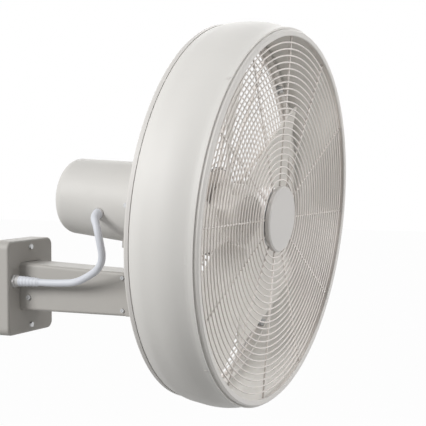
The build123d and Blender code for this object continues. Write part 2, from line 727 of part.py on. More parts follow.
with BuildPart() as saddle_screws:
    with BuildSketch(UNDER):
        with Locations(*SADDLE_SCREWS):
            Circle(SADDLE_SCREW_D / 2)
    extrude(amount=SADDLE_FACE - STATOR_R - SEAM)
    with BuildSketch(UNDER):
        with Locations(*SADDLE_SCREWS):
            Circle(SADDLE_SCREW_D * LOW_HEAD)
    extrude(amount=-SADDLE_SCREW_D * LOW_RISE)
write(saddle_screws, "saddle_screws")

# ---- motor end shields and bearings
FLANGE_PLANE = MOTOR_FRONT - SHIELD_FLANGE
BOLT_TURNS = 360 / MOTOR_BOLTS / 2
SPIGOT_R = HOUSING_FRONT_R - HOUSING_WALL - 4 * SHIELD_FIT
FRONT_SHIELD_END = MOTOR_FRONT + SHIELD_DEPTH
REAR_SHIELD_END = REAR_SHIELD + BEARING_WIDTH + REAR_SHIELD_WEB
REAR_SHIELD_R = housing_radius(REAR_SHIELD_END) - HOUSING_WALL - 2 * SHIELD_FIT

with BuildPart() as motor_front_shield:
    with BuildSketch(SECTION):
        with BuildLine():
            Polyline(
                (SHAFT_D / 2 + SHAFT_CLEAR, FLANGE_PLANE),
                (HOUSING_FRONT_R, FLANGE_PLANE),
                (HOUSING_FRONT_R, MOTOR_FRONT),
                (SPIGOT_R, MOTOR_FRONT),
                (SPIGOT_R, FRONT_SHIELD_END),
                (MOTOR_BOLT_R - MOTOR_BOLT_D, FRONT_SHIELD_END),
                (MOTOR_BOLT_R - MOTOR_BOLT_D, MOTOR_FRONT + SHIELD_FLANGE),
                (BEARING_OUTER / 2 + BEARING_SEAT, MOTOR_FRONT + SHIELD_FLANGE),
                (BEARING_OUTER / 2 + BEARING_SEAT, FRONT_SHIELD_END),
                (BEARING_OUTER / 2 + SHIELD_FIT / 4, FRONT_SHIELD_END),
                (BEARING_OUTER / 2 + SHIELD_FIT / 4, MOTOR_FRONT),
                (SHAFT_D / 2 + SHAFT_CLEAR, MOTOR_FRONT),
                close=True,
            )
        make_face()
    revolve(axis=FAN_AXIS)
    with BuildSketch(across(FRONT_SHIELD_END)):
        with PolarLocations(MOTOR_BOLT_R, MOTOR_BOLTS, BOLT_TURNS):
            Circle(MOTOR_BOLT_D / 2)
        with PolarLocations(GUARD_BOLT_R, MOTOR_BOLTS):
            Circle(GUARD_BOLT_D / 2)
    extrude(amount=2 * SHIELD_DEPTH, mode=Mode.SUBTRACT)
write(motor_front_shield, "motor_front_shield")

with BuildPart() as motor_rear_shield:
    with BuildSketch(SECTION):
        with BuildLine():
            Polyline(
                (0, REAR_SHIELD_END),
                (0, REAR_SHIELD_END - REAR_SHIELD_WEB / 2),
                (BEARING_INNER / 2 + 2 * SHAFT_CLEAR, REAR_SHIELD_END - REAR_SHIELD_WEB / 2),
                (BEARING_INNER / 2 + 2 * SHAFT_CLEAR, REAR_SHIELD_END - REAR_SHIELD_WEB),
                (BEARING_OUTER / 2 + SHIELD_FIT / 4, REAR_SHIELD_END - REAR_SHIELD_WEB),
                (BEARING_OUTER / 2 + SHIELD_FIT / 4, REAR_SHIELD),
                (BEARING_OUTER / 2 + BEARING_SEAT, REAR_SHIELD),
                (BEARING_OUTER / 2 + BEARING_SEAT, REAR_SHIELD_END - REAR_SHIELD_WEB),
                (MOTOR_BOLT_R - MOTOR_BOLT_D, REAR_SHIELD_END - REAR_SHIELD_WEB),
                (MOTOR_BOLT_R - MOTOR_BOLT_D, REAR_SHIELD),
                (REAR_SHIELD_R, REAR_SHIELD),
                (REAR_SHIELD_R, REAR_SHIELD_END),
                close=True,
            )
        make_face()
    revolve(axis=FAN_AXIS)
    with BuildSketch(across(REAR_SHIELD_END)):
        with PolarLocations(MOTOR_BOLT_R, MOTOR_BOLTS, BOLT_TURNS):
            Circle(MOTOR_BOLT_D / 2 + SCREW_FIT)
    extrude(amount=2 * BEARING_WIDTH, mode=Mode.SUBTRACT)
    for turn in HOUSING_SCREW_TURNS:
        with BuildSketch(outward(REAR_SCREW_DEPTH, turn, REAR_SHIELD_R)):
            Circle(HOUSING_SCREW_D / 2)
        extrude(amount=-HOUSING_SCREW_D * 1.5, mode=Mode.SUBTRACT)
write(motor_rear_shield, "motor_rear_shield")


def bearing(front):
    """A ball bearing drawn as one ring, with its front face at the given depth."""
    with BuildPart() as ring:
        with BuildSketch(across(front)):
            Circle(BEARING_OUTER / 2)
            Circle(BEARING_INNER / 2 + RUNNING_FIT, mode=Mode.SUBTRACT)
        extrude(amount=-BEARING_WIDTH)
        chamfer(ring.faces().sort_by(FAN_AXIS)[0].edges().sort_by(SortBy.LENGTH)[-1], length=BEARING_CHAMFER)
        with BuildSketch(across(front)):
            Circle(BEARING_OUTER / 2 - BEARING_RACE)
            Circle(BEARING_INNER / 2 + BEARING_RACE, mode=Mode.SUBTRACT)
        extrude(amount=-BEARING_GROOVE, mode=Mode.SUBTRACT)
    return ring


front_bearing = bearing(MOTOR_FRONT)
write(front_bearing, "front_bearing")
rear_bearing = bearing(REAR_SHIELD)
write(rear_bearing, "rear_bearing")

with BuildPart() as motor_bolts:
    with BuildSketch(across(MOTOR_FRONT)):
        with PolarLocations(MOTOR_BOLT_R, MOTOR_BOLTS, BOLT_TURNS):
            Circle(MOTOR_BOLT_D / 2 - SCREW_FIT / 4)
    extrude(amount=MOTOR_FRONT - REAR_SHIELD_END)
    with BuildSketch(across(REAR_SHIELD_END)):
        with PolarLocations(MOTOR_BOLT_R, MOTOR_BOLTS, BOLT_TURNS):
            Circle(MOTOR_BOLT_D * LOW_HEAD)
    extrude(amount=-MOTOR_BOLT_D * LOW_RISE)
write(motor_bolts, "motor_bolts")

with BuildPart() as housing_screws:
    for turn in HOUSING_SCREW_TURNS:
        seat = outward(REAR_SCREW_DEPTH, turn, housing_radius(REAR_SCREW_DEPTH))
        with BuildSketch(seat.offset(SEAM)):
            Circle(HOUSING_SCREW_D / 2 - SCREW_FIT / 4)
        extrude(amount=-SEAM - HOUSING_WALL - HOUSING_SCREW_D)
        with BuildSketch(seat.offset(SEAM)):
            Circle(HOUSING_SCREW_D * LOW_HEAD)
        extrude(amount=HOUSING_SCREW_D * LOW_RISE, taper=PAN_TAPER)
write(housing_screws, "housing_screws")

# ---- stator, windings, rotor and shaft
STATOR_END = STATOR_FRONT + STATOR_STACK

with BuildPart() as stator_core:
    with BuildSketch(across(STATOR_FRONT)):
        Circle(STATOR_R)
        Circle(STATOR_BORE, mode=Mode.SUBTRACT)
        with PolarLocations(MOTOR_BOLT_R, MOTOR_BOLTS, BOLT_TURNS):
            Circle(MOTOR_BOLT_D / 2 + SCREW_FIT, mode=Mode.SUBTRACT)
    extrude(amount=-STATOR_STACK)
write(stator_core, "stator_core")

with BuildPart() as stator_winding:
    for start in (STATOR_FRONT - COIL_LENGTH, STATOR_END):
        with BuildSketch(SECTION):
            with Locations(((COIL_INNER + COIL_OUTER) / 2, start + COIL_LENGTH / 2)):
                RectangleRounded(COIL_OUTER - COIL_INNER, COIL_LENGTH, COIL_ROUND)
        revolve(axis=FAN_AXIS)
write(stator_winding, "stator_winding")

with BuildPart() as rotor_core:
    with BuildSketch(across(STATOR_FRONT)):
        Circle(STATOR_BORE - AIR_GAP)
        Circle(SHAFT_D / 2 + SHIELD_FIT / 4, mode=Mode.SUBTRACT)
    extrude(amount=-STATOR_STACK)
write(rotor_core, "rotor_core")

with BuildPart() as shaft:
    with BuildSketch(across(SHAFT_STEP)):
        Circle(SHAFT_D / 2)
    extrude(amount=SHAFT_STEP - REAR_SHIELD - BEARING_WIDTH)
    with BuildSketch(across(SHAFT_STEP)):
        Circle(SHAFT_THREAD_D / 2)
    extrude(amount=SHAFT_STEP - SHAFT_START)
    with BuildSketch(Plane(origin=HEAD + REARWARD * DRIVE_PIN_DEPTH, x_dir=REARWARD, z_dir=(1, 0, 0))):
        Circle(DRIVE_PIN_D / 2)
    extrude(amount=SHAFT_D, both=True, mode=Mode.SUBTRACT)
write(shaft, "shaft")

# ---- capacitor and control board behind the motor, the board on three posts
with BuildPart() as run_capacitor:
    with BuildSketch(across(REAR_SHIELD_END + SEAM)):
        Circle(CAPACITOR_D / 2)
    extrude(amount=-CAPACITOR_LENGTH)
    fillet(run_capacitor.edges().filter_by(GeomType.CIRCLE), radius=CAPACITOR_EDGE)
write(run_capacitor, "run_capacitor")

with BuildPart() as board_posts:
    with BuildSketch(across(REAR_SHIELD_END)):
        with PolarLocations(POST_R, BOARD_POSTS, 90):
            RegularPolygon(BOARD_POST_D / 2, 6)
    extrude(amount=REAR_SHIELD_END - BOARD_DEPTH)
write(board_posts, "board_posts")

with BuildPart() as control_board:
    with BuildSketch(across(BOARD_DEPTH)):
        Circle(BOARD_R)
    extrude(amount=-BOARD_THICK)
    with BuildSketch(across(BOARD_DEPTH + BOARD_THICK)):
        with Locations(RELAY_PLACE):
            Rectangle(*RELAY)
        with Locations(CHOKE_PLACE):
            Rectangle(*CHOKE)
        with Locations(FILTER_PLACE):
            Circle(FILTER_D / 2)
    extrude(amount=-BOARD_PART_HEIGHT)
write(control_board, "control_board")

# ---- drum: a rolled shell with a short lip, a swelling belly and a narrower back
DRUM_LINE = [
    (DRUM_LIP + 0.4, 11.0),
    (DRUM_LIP + 2.5, 19.0),
    (DRUM_BELLY - 0.5, 29.0),
    (DRUM_BELLY, DRUM_BELLY_DEPTH),
    (DRUM_BELLY - 1.3, 57.0),
    (DRUM_REAR, DRUM_REAR_DEPTH),
]


def drum_profile(inset):
    """The drum's outer line, drawn in by the inset, closed on the fan's axis."""
    curve = [(radius - inset, depth) for radius, depth in DRUM_LINE]
    with BuildSketch(SECTION) as half:
        with BuildLine():
            Polyline(
                (DRUM_REAR - inset, DRUM_REAR_DEPTH),
                (0, DRUM_REAR_DEPTH),
                (0, DRUM_FRONT_DEPTH),
                (DRUM_LIP - inset, DRUM_FRONT_DEPTH),
                (DRUM_LIP - inset, LIP_END),
            )
            Spline((DRUM_LIP - inset, LIP_END), *curve, tangents=[(0, 1), (-0.35, 1)])
        make_face()
    return half.sketch


with BuildPart() as drum:
    add(drum_profile(0))
    revolve(axis=FAN_AXIS)
    add(drum_profile(DRUM_WALL))
    revolve(axis=FAN_AXIS, mode=Mode.SUBTRACT)
    for i in range(RING_SCREWS):
        with BuildSketch(outward(RING_SCREW_DEPTH, 45 + i * 360 / RING_SCREWS, DRUM_LIP)):
            Circle(RING_SCREW_D / 2 + SCREW_FIT)
        extrude(amount=2 * DRUM_WALL, both=True, mode=Mode.SUBTRACT)
write(drum, "drum")

# ---- front ring: face, outer wall and a skirt inside the drum's lip
SKIRT_OUTER = DRUM_LIP - DRUM_WALL - SEAM
FACE_BACK = RING_FRONT + RING_FACE

with BuildPart() as front_ring:
    with BuildSketch(SECTION):
        with BuildLine():
            Polyline(
                (RING_INNER, RING_FRONT + RING_INNER_BEVEL),
                (RING_INNER + RING_INNER_BEVEL, RING_FRONT),
                (RING_OUTER - RING_BEVEL, RING_FRONT),
                (RING_OUTER, RING_FRONT + RING_BEVEL),
                (RING_OUTER, RING_BACK),
                (SKIRT_OUTER, RING_BACK),
                (SKIRT_OUTER, RING_SKIRT),
                (SKIRT_OUTER - RING_SKIRT_THICK, RING_SKIRT),
                (SKIRT_OUTER - RING_SKIRT_THICK, FACE_BACK),
                (RING_INNER, FACE_BACK),
                close=True,
            )
        make_face()
    revolve(axis=FAN_AXIS)
    for i in range(RING_SCREWS):
        with BuildSketch(outward(RING_SCREW_DEPTH, 45 + i * 360 / RING_SCREWS, SKIRT_OUTER)):
            Circle(RING_SCREW_D / 2)
        extrude(amount=-2 * RING_SKIRT_THICK, mode=Mode.SUBTRACT)
write(front_ring, "front_ring")

with BuildPart() as ring_screws:
    for i in range(RING_SCREWS):
        seat = outward(RING_SCREW_DEPTH, 45 + i * 360 / RING_SCREWS, DRUM_LIP)
        with BuildSketch(seat):
            Circle(RING_SCREW_D / 2 - SCREW_FIT / 4)
        extrude(amount=-DRUM_WALL - RING_SKIRT_THICK - SEAM)
        with BuildSketch(seat):
            Circle(RING_SCREW_D / 2)
        extrude(amount=RING_SCREW_PROUD)
write(ring_screws, "ring_screws")

# ---- rear trim ring, hooked inside the drum's back edge
REAR_HOOK_OUTER = DRUM_REAR - DRUM_WALL - SEAM
REAR_ROUND_MIDDLE = REAR_RING_ROUND * (1 - sqrt(0.5))

with BuildPart() as rear_ring:
    with BuildSketch(SECTION):
        with BuildLine():
            Polyline(
                (REAR_RING_INNER, REAR_RING_END),
                (REAR_RING_INNER, DRUM_REAR_DEPTH - REAR_RING_HOOK),
                (REAR_HOOK_OUTER, DRUM_REAR_DEPTH - REAR_RING_HOOK),
                (REAR_HOOK_OUTER, DRUM_REAR_DEPTH + SEAM),
                (REAR_RING_OUTER, DRUM_REAR_DEPTH + SEAM),
                (REAR_RING_OUTER, REAR_RING_END - REAR_RING_ROUND),
            )
            ThreePointArc(
                (REAR_RING_OUTER, REAR_RING_END - REAR_RING_ROUND),
                (REAR_RING_OUTER - REAR_ROUND_MIDDLE, REAR_RING_END - REAR_ROUND_MIDDLE),
                (REAR_RING_OUTER - REAR_RING_ROUND, REAR_RING_END),
            )
            Line((REAR_RING_OUTER - REAR_RING_ROUND, REAR_RING_END), (REAR_RING_INNER, REAR_RING_END))
        make_face()
    revolve(axis=FAN_AXIS)
write(rear_ring, "rear_ring")

# ---- wire guards: ring wires welded on radial spokes of square section. The ring wires are drawn with eight flats,
# one facing the room. A guard is made flat on the plane of its spokes, with its wires towards +Z, and is then put in
# its place in the head
WIRE_PITCH = (WIRE_FIRST - WIRE_LAST) / (WIRE_RINGS - 1)
WIRE_RADII = [WIRE_LAST + i * WIRE_PITCH for i in range(WIRE_RINGS)]
BETWEEN_SPOKES = radians(90 + 180 / SPOKES)
RING_WAY = Vector(cos(BETWEEN_SPOKES), sin(BETWEEN_SPOKES), 0)
RING_SECTION = Plane(origin=(0, 0, 0), x_dir=RING_WAY, z_dir=RING_WAY.cross(Vector(0, 0, 1)))


def wire_section(diameter):
    """One eight-sided wire of the sketch that is being drawn."""
    RegularPolygon(radius=diameter / 2, side_count=WIRE_FLATS, rotation=180 / WIRE_FLATS)


def flat_spokes(size, start, end):
    """The radial spokes of a guard that still lies flat."""
    with BuildPart() as spokes:
        for i in range(SPOKES):
            angle = radians(i * 360 / SPOKES)
            way = Vector(cos(angle), sin(angle), 0)
            with BuildSketch(Plane(origin=way * start, x_dir=(0, 0, 1), z_dir=way)):
                Rectangle(size, size)
            extrude(amount=end - start)
    return spokes.part


SPOKE_DEPTH = GUARD_DEPTH + SPOKE_BEHIND

with BuildPart() as front_wires:
    with BuildSketch(RING_SECTION):
        with Locations(*[(radius, SPOKE_BEHIND) for radius in WIRE_RADII]):
            wire_section(WIRE_D)
        with Locations((RIM_WIRE, SPOKE_BEHIND - RIM_WIRE_BACK)):
            wire_section(RIM_WIRE_D)
        with Locations((CORE_WIRE, 0)):
            wire_section(WIRE_D)
    revolve(axis=Axis.Z)
    add(flat_spokes(SPOKE_SIZE, CORE_WIRE, RIM_WIRE))

with BuildPart() as front_guard:
    add(across(SPOKE_DEPTH).location * front_wires.part)
write(front_guard, "front_guard")

# ---- round cap in the middle of the front guard, its clamp and screw
SPOKE_FRONT = SPOKE_DEPTH - SPOKE_SIZE / 2
CLAMP_FACE = SPOKE_DEPTH + SPOKE_SIZE / 2 + SEAM / 3
CAP_RIM = SPOKE_FRONT - SEAM / 3

with BuildPart() as centre_cap:
    with BuildSketch(SECTION):
        with BuildLine():
            Polyline(
                (0, CAP_FRONT),
                (CAP_RADIUS - CAP_BEVEL, CAP_FRONT),
                (CAP_RADIUS, CAP_FRONT + CAP_BEVEL),
                (CAP_RADIUS, CAP_RIM),
                (CAP_RADIUS - CAP_WALL, CAP_RIM),
                (CAP_RADIUS - CAP_WALL, CAP_FRONT + CAP_WALL),
                (CAP_BOSS_R, CAP_FRONT + CAP_WALL),
                (CAP_BOSS_R, CLAMP_FACE - SEAM / 3),
                (CAP_SCREW_D / 2, CLAMP_FACE - SEAM / 3),
                (CAP_SCREW_D / 2, CAP_FRONT + CAP_WALL),
                (0, CAP_FRONT + CAP_WALL),
                close=True,
            )
        make_face()
    revolve(axis=FAN_AXIS)
write(centre_cap, "centre_cap")

with BuildPart() as cap_backplate:
    with BuildSketch(across(CLAMP_FACE)):
        Circle(CLAMP_RADIUS)
        Circle(CAP_SCREW_D / 2 + SCREW_FIT, mode=Mode.SUBTRACT)
    extrude(amount=-CLAMP_THICK)
write(cap_backplate, "cap_backplate")

with BuildPart() as cap_screw:
    with BuildSketch(across(CLAMP_FACE + CLAMP_THICK)):
        Circle(CAP_SCREW_D * PAN_HEAD)
    extrude(amount=-CAP_SCREW_D * PAN_RISE)
    with BuildSketch(across(CLAMP_FACE + CLAMP_THICK)):
        Circle(CAP_SCREW_D / 2 - SCREW_FIT / 4)
    extrude(amount=CLAMP_THICK + CLAMP_FACE - CAP_FRONT - 2 * CAP_WALL)
write(cap_screw, "cap_screw")

# ---- guard latch at nine o'clock: a small hook under the ring that holds the guard's rim wire
LATCH_FACE = SPOKE_DEPTH + SPOKE_SIZE / 2 + SEAM / 3

with BuildPart() as guard_latch:
    with BuildSketch(across(LATCH_FACE)):
        with Locations((-(RIM_WIRE - LATCH_LENGTH / 2 + RIM_WIRE_D / 2), 0)):
            RectangleRounded(LATCH_LENGTH, LATCH_WIDTH, LATCH_CORNER)
    extrude(amount=-LATCH_THICK)
write(guard_latch, "guard_latch")

# ---- rear guard: the same wires, thicker spokes, and a hub plate that is bolted to the motor
HUB_PLATE_FRONT = FLANGE_PLANE - HUB_PLATE_THICK
HUB_PLATE_MIDDLE = REAR_GUARD_DEPTH - HUB_PLATE_FRONT - HUB_PLATE_THICK / 2
REAR_RIM_DEPTH = REAR_GUARD_DEPTH - REAR_RIM_AHEAD
PLATE_HOLE = BEARING_OUTER / 2 + 2 * SHAFT_CLEAR
REAR_RIM_WIRE = REAR_RING_INNER - RIM_WIRE_D / 2 - SEAM

with BuildPart() as rear_wires:
    with BuildSketch(RING_SECTION):
        with Locations(*[(radius, REAR_WIRE_AHEAD) for radius in WIRE_RADII[1:]]):
            wire_section(WIRE_D)
        with Locations((REAR_RIM_WIRE, REAR_RIM_AHEAD)):
            wire_section(RIM_WIRE_D)
        with Locations(((HUB_PLATE_R + PLATE_HOLE) / 2, HUB_PLATE_MIDDLE)):
            Rectangle(HUB_PLATE_R - PLATE_HOLE, HUB_PLATE_THICK)
    revolve(axis=Axis.Z)
    add(flat_spokes(REAR_SPOKE_SIZE, HUB_PLATE_R - SPOKE_ROOT, REAR_RIM_WIRE))
    with BuildSketch(Plane.XY.offset(-HUB_PLATE_THICK)):
        with PolarLocations(GUARD_BOLT_R, MOTOR_BOLTS):
            Circle(GUARD_BOLT_D / 2 + SCREW_FIT)
    extrude(amount=2 * HUB_PLATE_THICK, mode=Mode.SUBTRACT)

with BuildPart() as rear_guard:
    add(across(REAR_GUARD_DEPTH).location * rear_wires.part)
write(rear_guard, "rear_guard")

with BuildPart() as guard_bolts:
    with BuildSketch(across(HUB_PLATE_FRONT)):
        with PolarLocations(GUARD_BOLT_R, MOTOR_BOLTS):
            Circle(GUARD_BOLT_D / 2 - SCREW_FIT / 4)
    extrude(amount=-HUB_PLATE_THICK - 2 * SHIELD_FLANGE)
    with BuildSketch(across(HUB_PLATE_FRONT)):
        with PolarLocations(GUARD_BOLT_R, MOTOR_BOLTS):
            Circle(GUARD_BOLT_D * LOW_HEAD)
    extrude(amount=GUARD_BOLT_D * LOW_RISE)
write(guard_bolts, "guard_bolts")

# ---- clips that hold the rear guard's rim wire to the rear ring
with BuildPart() as guard_clips:
    for i in range(CLIPS):
        foot = outward(REAR_RIM_DEPTH - RIM_WIRE_D / 2 - CLIP_GAP, 45 + i * 360 / CLIPS, REAR_RING_INNER - SEAM)
        with BuildSketch(foot):
            with Locations((-CLIP_THICK / 2, 0)):
                RectangleRounded(CLIP_THICK, CLIP_WIDTH, CLIP_CORNER)
        extrude(amount=-CLIP_REACH)
        with BuildSketch(foot):
            with Locations((-CLIP_LIP / 2, 0)):
                RectangleRounded(CLIP_LIP, CLIP_WIDTH, CLIP_CORNER)
        extrude(amount=-CLIP_LIP_THICK)
write(guard_clips, "guard_clips")

# ---- impeller: cup hub with ribs and five broad blades
# Each row is one station of the blade, at a distance from the axis along the blade's own middle line: the sideways
# place and depth of its front edge, then of its rear edge, and how far the middle swells back.
STATIONS = [
    (33.0, 30.0, 44.5, -3.0, 66.0, 2.0),
    (85.0, 45.0, 41.0, -20.0, 68.0, 3.5),
    (132.0, 51.0, 39.5, -46.0, 69.5, 5.0),
    (192.0, 42.0, 44.0, -100.0, 71.5, 6.5),
]


def blade_section(station, turn):
    away, front_side, front_depth, rear_side, rear_depth, swell = station
    out = Vector(1, 0, 0) * cos(radians(turn)) + UPWARD * sin(radians(turn))
    side = UPWARD * cos(radians(turn)) - Vector(1, 0, 0) * sin(radians(turn))
    flat = Plane(origin=HEAD + out * away, x_dir=side, z_dir=out)
    rearward = 1 if flat.y_dir.dot(REARWARD) > 0 else -1
    front = Vector(front_side, rearward * front_depth)
    rear = Vector(rear_side, rearward * rear_depth)
    chord = rear - front
    square = Vector(-chord.Y, chord.X).normalized() * rearward
    square = square if square.Y * rearward > 0 else square * -1
    middle = (front + rear) / 2 + square * swell
    thick = square * BLADE_THICK
    with BuildSketch(flat) as face:
        with BuildLine():
            ThreePointArc(front, middle, rear)
            Line(rear, rear + thick)
            ThreePointArc(rear + thick, middle + thick, front + thick)
            Line(front + thick, front)
        make_face()
    return face.sketch


with BuildPart() as impeller:
    for i in range(BLADES):
        loft([blade_section(station, BLADE_FIRST + i * 360 / BLADES) for station in STATIONS])
    with BuildSketch(across(0)):
        Circle(BLADE_TIP)
    extrude(amount=-2 * HUB_BACK, mode=Mode.INTERSECT)
    with BuildSketch(across(HUB_FRONT)):
        Circle(HUB_R)
    extrude(amount=HUB_FRONT - HUB_BACK)
    fillet(impeller.faces().sort_by(FAN_AXIS).filter_by(GeomType.PLANE)[0].edges(), radius=HUB_WALL / 2)
    with BuildSketch(across(HUB_BACK)):
        Circle(HUB_R - HUB_WALL)
        Circle(BOSS_R, mode=Mode.SUBTRACT)
        with PolarLocations(0, BLADES):
            with Locations(((HUB_R + BOSS_R) / 2, 0)):
                Rectangle(HUB_R - BOSS_R + 2 * HUB_RIB_SINK, HUB_RIB_THICK, mode=Mode.SUBTRACT)
    extrude(amount=HUB_BACK - HUB_FRONT - HUB_FACE_THICK, mode=Mode.SUBTRACT)
    with BuildSketch(across(HUB_BACK)):
        Circle(SHAFT_D / 2 + SHIELD_FIT / 4)
    extrude(amount=HUB_BACK, mode=Mode.SUBTRACT)
    with BuildSketch(across(HUB_BACK)):
        Rectangle(DRIVE_SLOT, DRIVE_PIN_D + SCREW_FIT)
    extrude(amount=HUB_BACK - DRIVE_PIN_DEPTH + DRIVE_PIN_D / 2, mode=Mode.SUBTRACT)
write(impeller, "impeller")

with BuildPart() as impeller_nut:
    with BuildSketch(SECTION):
        with BuildLine():
            Polyline(
                (0, HUB_FRONT - NUT_LENGTH),
                (NUT_FACE_R, HUB_FRONT - NUT_LENGTH),
                (NUT_R, HUB_FRONT - NUT_LENGTH + NUT_BEVEL),
                (NUT_R, HUB_FRONT),
                (SHAFT_THREAD_D / 2 + SCREW_FIT / 4, HUB_FRONT),
                (SHAFT_THREAD_D / 2 + SCREW_FIT / 4, SHAFT_START - SEAM / 3),
                (0, SHAFT_START - SEAM / 3),
                close=True,
            )
        make_face()
    revolve(axis=FAN_AXIS)
write(impeller_nut, "impeller_nut")

with BuildPart() as drive_pin:
    with BuildSketch(Plane(origin=HEAD + REARWARD * DRIVE_PIN_DEPTH, x_dir=REARWARD, z_dir=(1, 0, 0))):
        Circle(DRIVE_PIN_D / 2 - SCREW_FIT / 4)
    extrude(amount=DRIVE_PIN_LENGTH / 2, both=True)
write(drive_pin, "drive_pin")

# ---- cord: grommet in the housing's side, gland in the wall cover, and the free stretch between them
with BuildPart() as cord_grommet:
    with BuildSketch(GROMMET_PLACE):
        Circle(GROMMET_D / 2)
    extrude(amount=GROMMET_LIP)
    fillet(cord_grommet.faces().sort_by(Axis.X)[0].edges(), radius=GROMMET_ROUND)
    with BuildSketch(GROMMET_PLACE):
        Circle(GROMMET_NECK / 2)
    extrude(amount=-2 * HOUSING_WALL)
write(cord_grommet, "cord_grommet")

with BuildPart() as cord_gland:
    with BuildSketch(Plane.XZ.offset(COVER_DEPTH)):
        with Locations((GLAND_X, GLAND_Z)):
            RegularPolygon(GLAND_D / 2, 6)
    extrude(amount=GLAND_HEX)
    with BuildSketch(Plane.XZ.offset(COVER_DEPTH + GLAND_HEX)):
        with Locations((GLAND_X, GLAND_Z)):
            Circle(GLAND_NECK / 2)
    extrude(amount=GLAND_LENGTH - GLAND_HEX, taper=GLAND_TAPER)
    with BuildSketch(Plane.XZ.offset(COVER_DEPTH)):
        with Locations((GLAND_X, GLAND_Z)):
            Circle(GLAND_NECK / 2)
    extrude(amount=-3 * COVER_WALL)
write(cord_gland, "cord_gland")

GROMMET_FACE = GROMMET_PLACE.offset(GROMMET_LIP)
CORD_POINTS = [
    GROMMET_FACE.origin,
    GROMMET_FACE.origin + GROMMET_FACE.z_dir * EXIT_RUN,
    Vector(-67.0, -164.0, 82.5),
    Vector(-67.5, -168.5, 64.0),
    Vector(-62.5, -169.5, 46.0),
    Vector(-56.0, -160.0, 31.5),
    Vector(-47.0, -139.5, 20.5),
    Vector(-40.0, -117.5, 11.5),
    Vector(GLAND_X, -94.0, GLAND_Z),
    Vector(-38.6, -74.0, 9.2),
    Vector(-38.2, -55.0, 9.6),
    Vector(GLAND_X, -COVER_DEPTH - GLAND_LENGTH, GLAND_Z),
]


def bend_radii(points):
    """For each inner point, the radius that takes 0.45 of its shorter run."""
    radii = []
    for before, here, after in zip(points, points[1:], points[2:]):
        turn = (here - before).get_angle(after - here)
        shorter = min((here - before).length, (after - here).length)
        radii.append(0.45 * shorter / tan(radians(turn) / 2))
    return radii


CORD_RADII = bend_radii(CORD_POINTS)
print("cord radii", [round(radius, 1) for radius in CORD_RADII])
print("cord runs", [round((b - a).length, 1) for a, b in zip(CORD_POINTS, CORD_POINTS[1:])])

with BuildPart() as mains_cord:
    with BuildLine() as route:
        FilletPolyline(*CORD_POINTS, radius=CORD_RADII)
    with BuildSketch(GROMMET_FACE):
        Circle(CORD_D / 2)
    sweep(path=route.wires()[0])
ROUTE_LENGTH = route.wires()[0].length
FULL_VOLUME = ROUTE_LENGTH * pi * CORD_D**2 / 4
print("cord length", round(ROUTE_LENGTH, 1), "volume share", round(mains_cord.part.volume / FULL_VOLUME, 4))
write(mains_cord, "mains_cord")
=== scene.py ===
# %% [markdown]
# # A wall mounted drum fan
# The fan is a wire-fronted drum on a long motor can, carried by a box arm that is screwed to a wall.
# Its solids come ready made from the CAD model, so this lesson is about what CAD leaves out: the
# flexible cord, the guard's round wires and their welds, the paint, plastic and metal of each piece,
# the light and the camera. First the solids are loaded, and the size of their box is measured.

import math

import bmesh
import bpy
from mathutils import Matrix, Vector


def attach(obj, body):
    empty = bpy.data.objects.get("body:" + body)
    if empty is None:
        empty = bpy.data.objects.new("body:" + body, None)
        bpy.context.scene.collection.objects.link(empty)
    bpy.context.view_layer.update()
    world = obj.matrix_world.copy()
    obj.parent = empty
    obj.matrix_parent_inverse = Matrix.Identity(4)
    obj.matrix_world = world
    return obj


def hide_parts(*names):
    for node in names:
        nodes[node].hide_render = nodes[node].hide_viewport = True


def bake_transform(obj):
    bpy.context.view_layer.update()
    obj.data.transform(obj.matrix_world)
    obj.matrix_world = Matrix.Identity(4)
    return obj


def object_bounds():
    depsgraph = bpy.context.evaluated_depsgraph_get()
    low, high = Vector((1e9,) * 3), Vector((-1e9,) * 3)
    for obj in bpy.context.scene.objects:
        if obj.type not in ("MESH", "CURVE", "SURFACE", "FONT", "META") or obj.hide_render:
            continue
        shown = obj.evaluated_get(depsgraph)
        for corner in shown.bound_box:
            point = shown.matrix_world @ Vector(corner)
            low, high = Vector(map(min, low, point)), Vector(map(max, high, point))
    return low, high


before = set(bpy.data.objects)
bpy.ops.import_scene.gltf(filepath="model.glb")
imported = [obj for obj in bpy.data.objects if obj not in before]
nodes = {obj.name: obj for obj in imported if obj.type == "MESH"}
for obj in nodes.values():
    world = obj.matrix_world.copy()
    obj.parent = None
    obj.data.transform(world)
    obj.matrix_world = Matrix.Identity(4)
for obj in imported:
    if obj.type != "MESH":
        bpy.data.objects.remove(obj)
cad_low, cad_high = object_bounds()
cad_size = [round(high - low, 4) for low, high in zip(cad_low, cad_high)]
print("solids:", len(nodes), "box in metres:", cad_size)

# %% [markdown]
# The whole head looks down by 4.74 degrees. Most of its pieces are round about the blades' axis, so a
# point on them is easiest to say as a depth behind the front ring, an angle round the axis, counted from
# the fan's right, and a distance from it. New pieces could be built level and then tilted by a parent, but
# the solids already stand in the wall's own axes, so one small function turns such a point into those.

# %% The head's own axes
TILT = math.radians(4.74)
REARWARD = Vector((0.0, math.cos(TILT), math.sin(TILT)))
UPWARD = Vector((0.0, -math.sin(TILT), math.cos(TILT)))
SIDEWAYS = Vector((1.0, 0.0, 0.0))
PIVOT = Vector((0.0, -0.205, 0.042))
PIVOT_DEPTH, PIVOT_DROP = 0.160, 0.0655
HEAD = PIVOT - REARWARD * PIVOT_DEPTH + UPWARD * PIVOT_DROP


def on_head(depth, angle, radius):
    """A point by its depth behind the front ring, its angle in degrees and its radius."""
    turn = math.radians(angle)
    return HEAD + REARWARD * depth + (SIDEWAYS * math.cos(turn) + UPWARD * math.sin(turn)) * radius


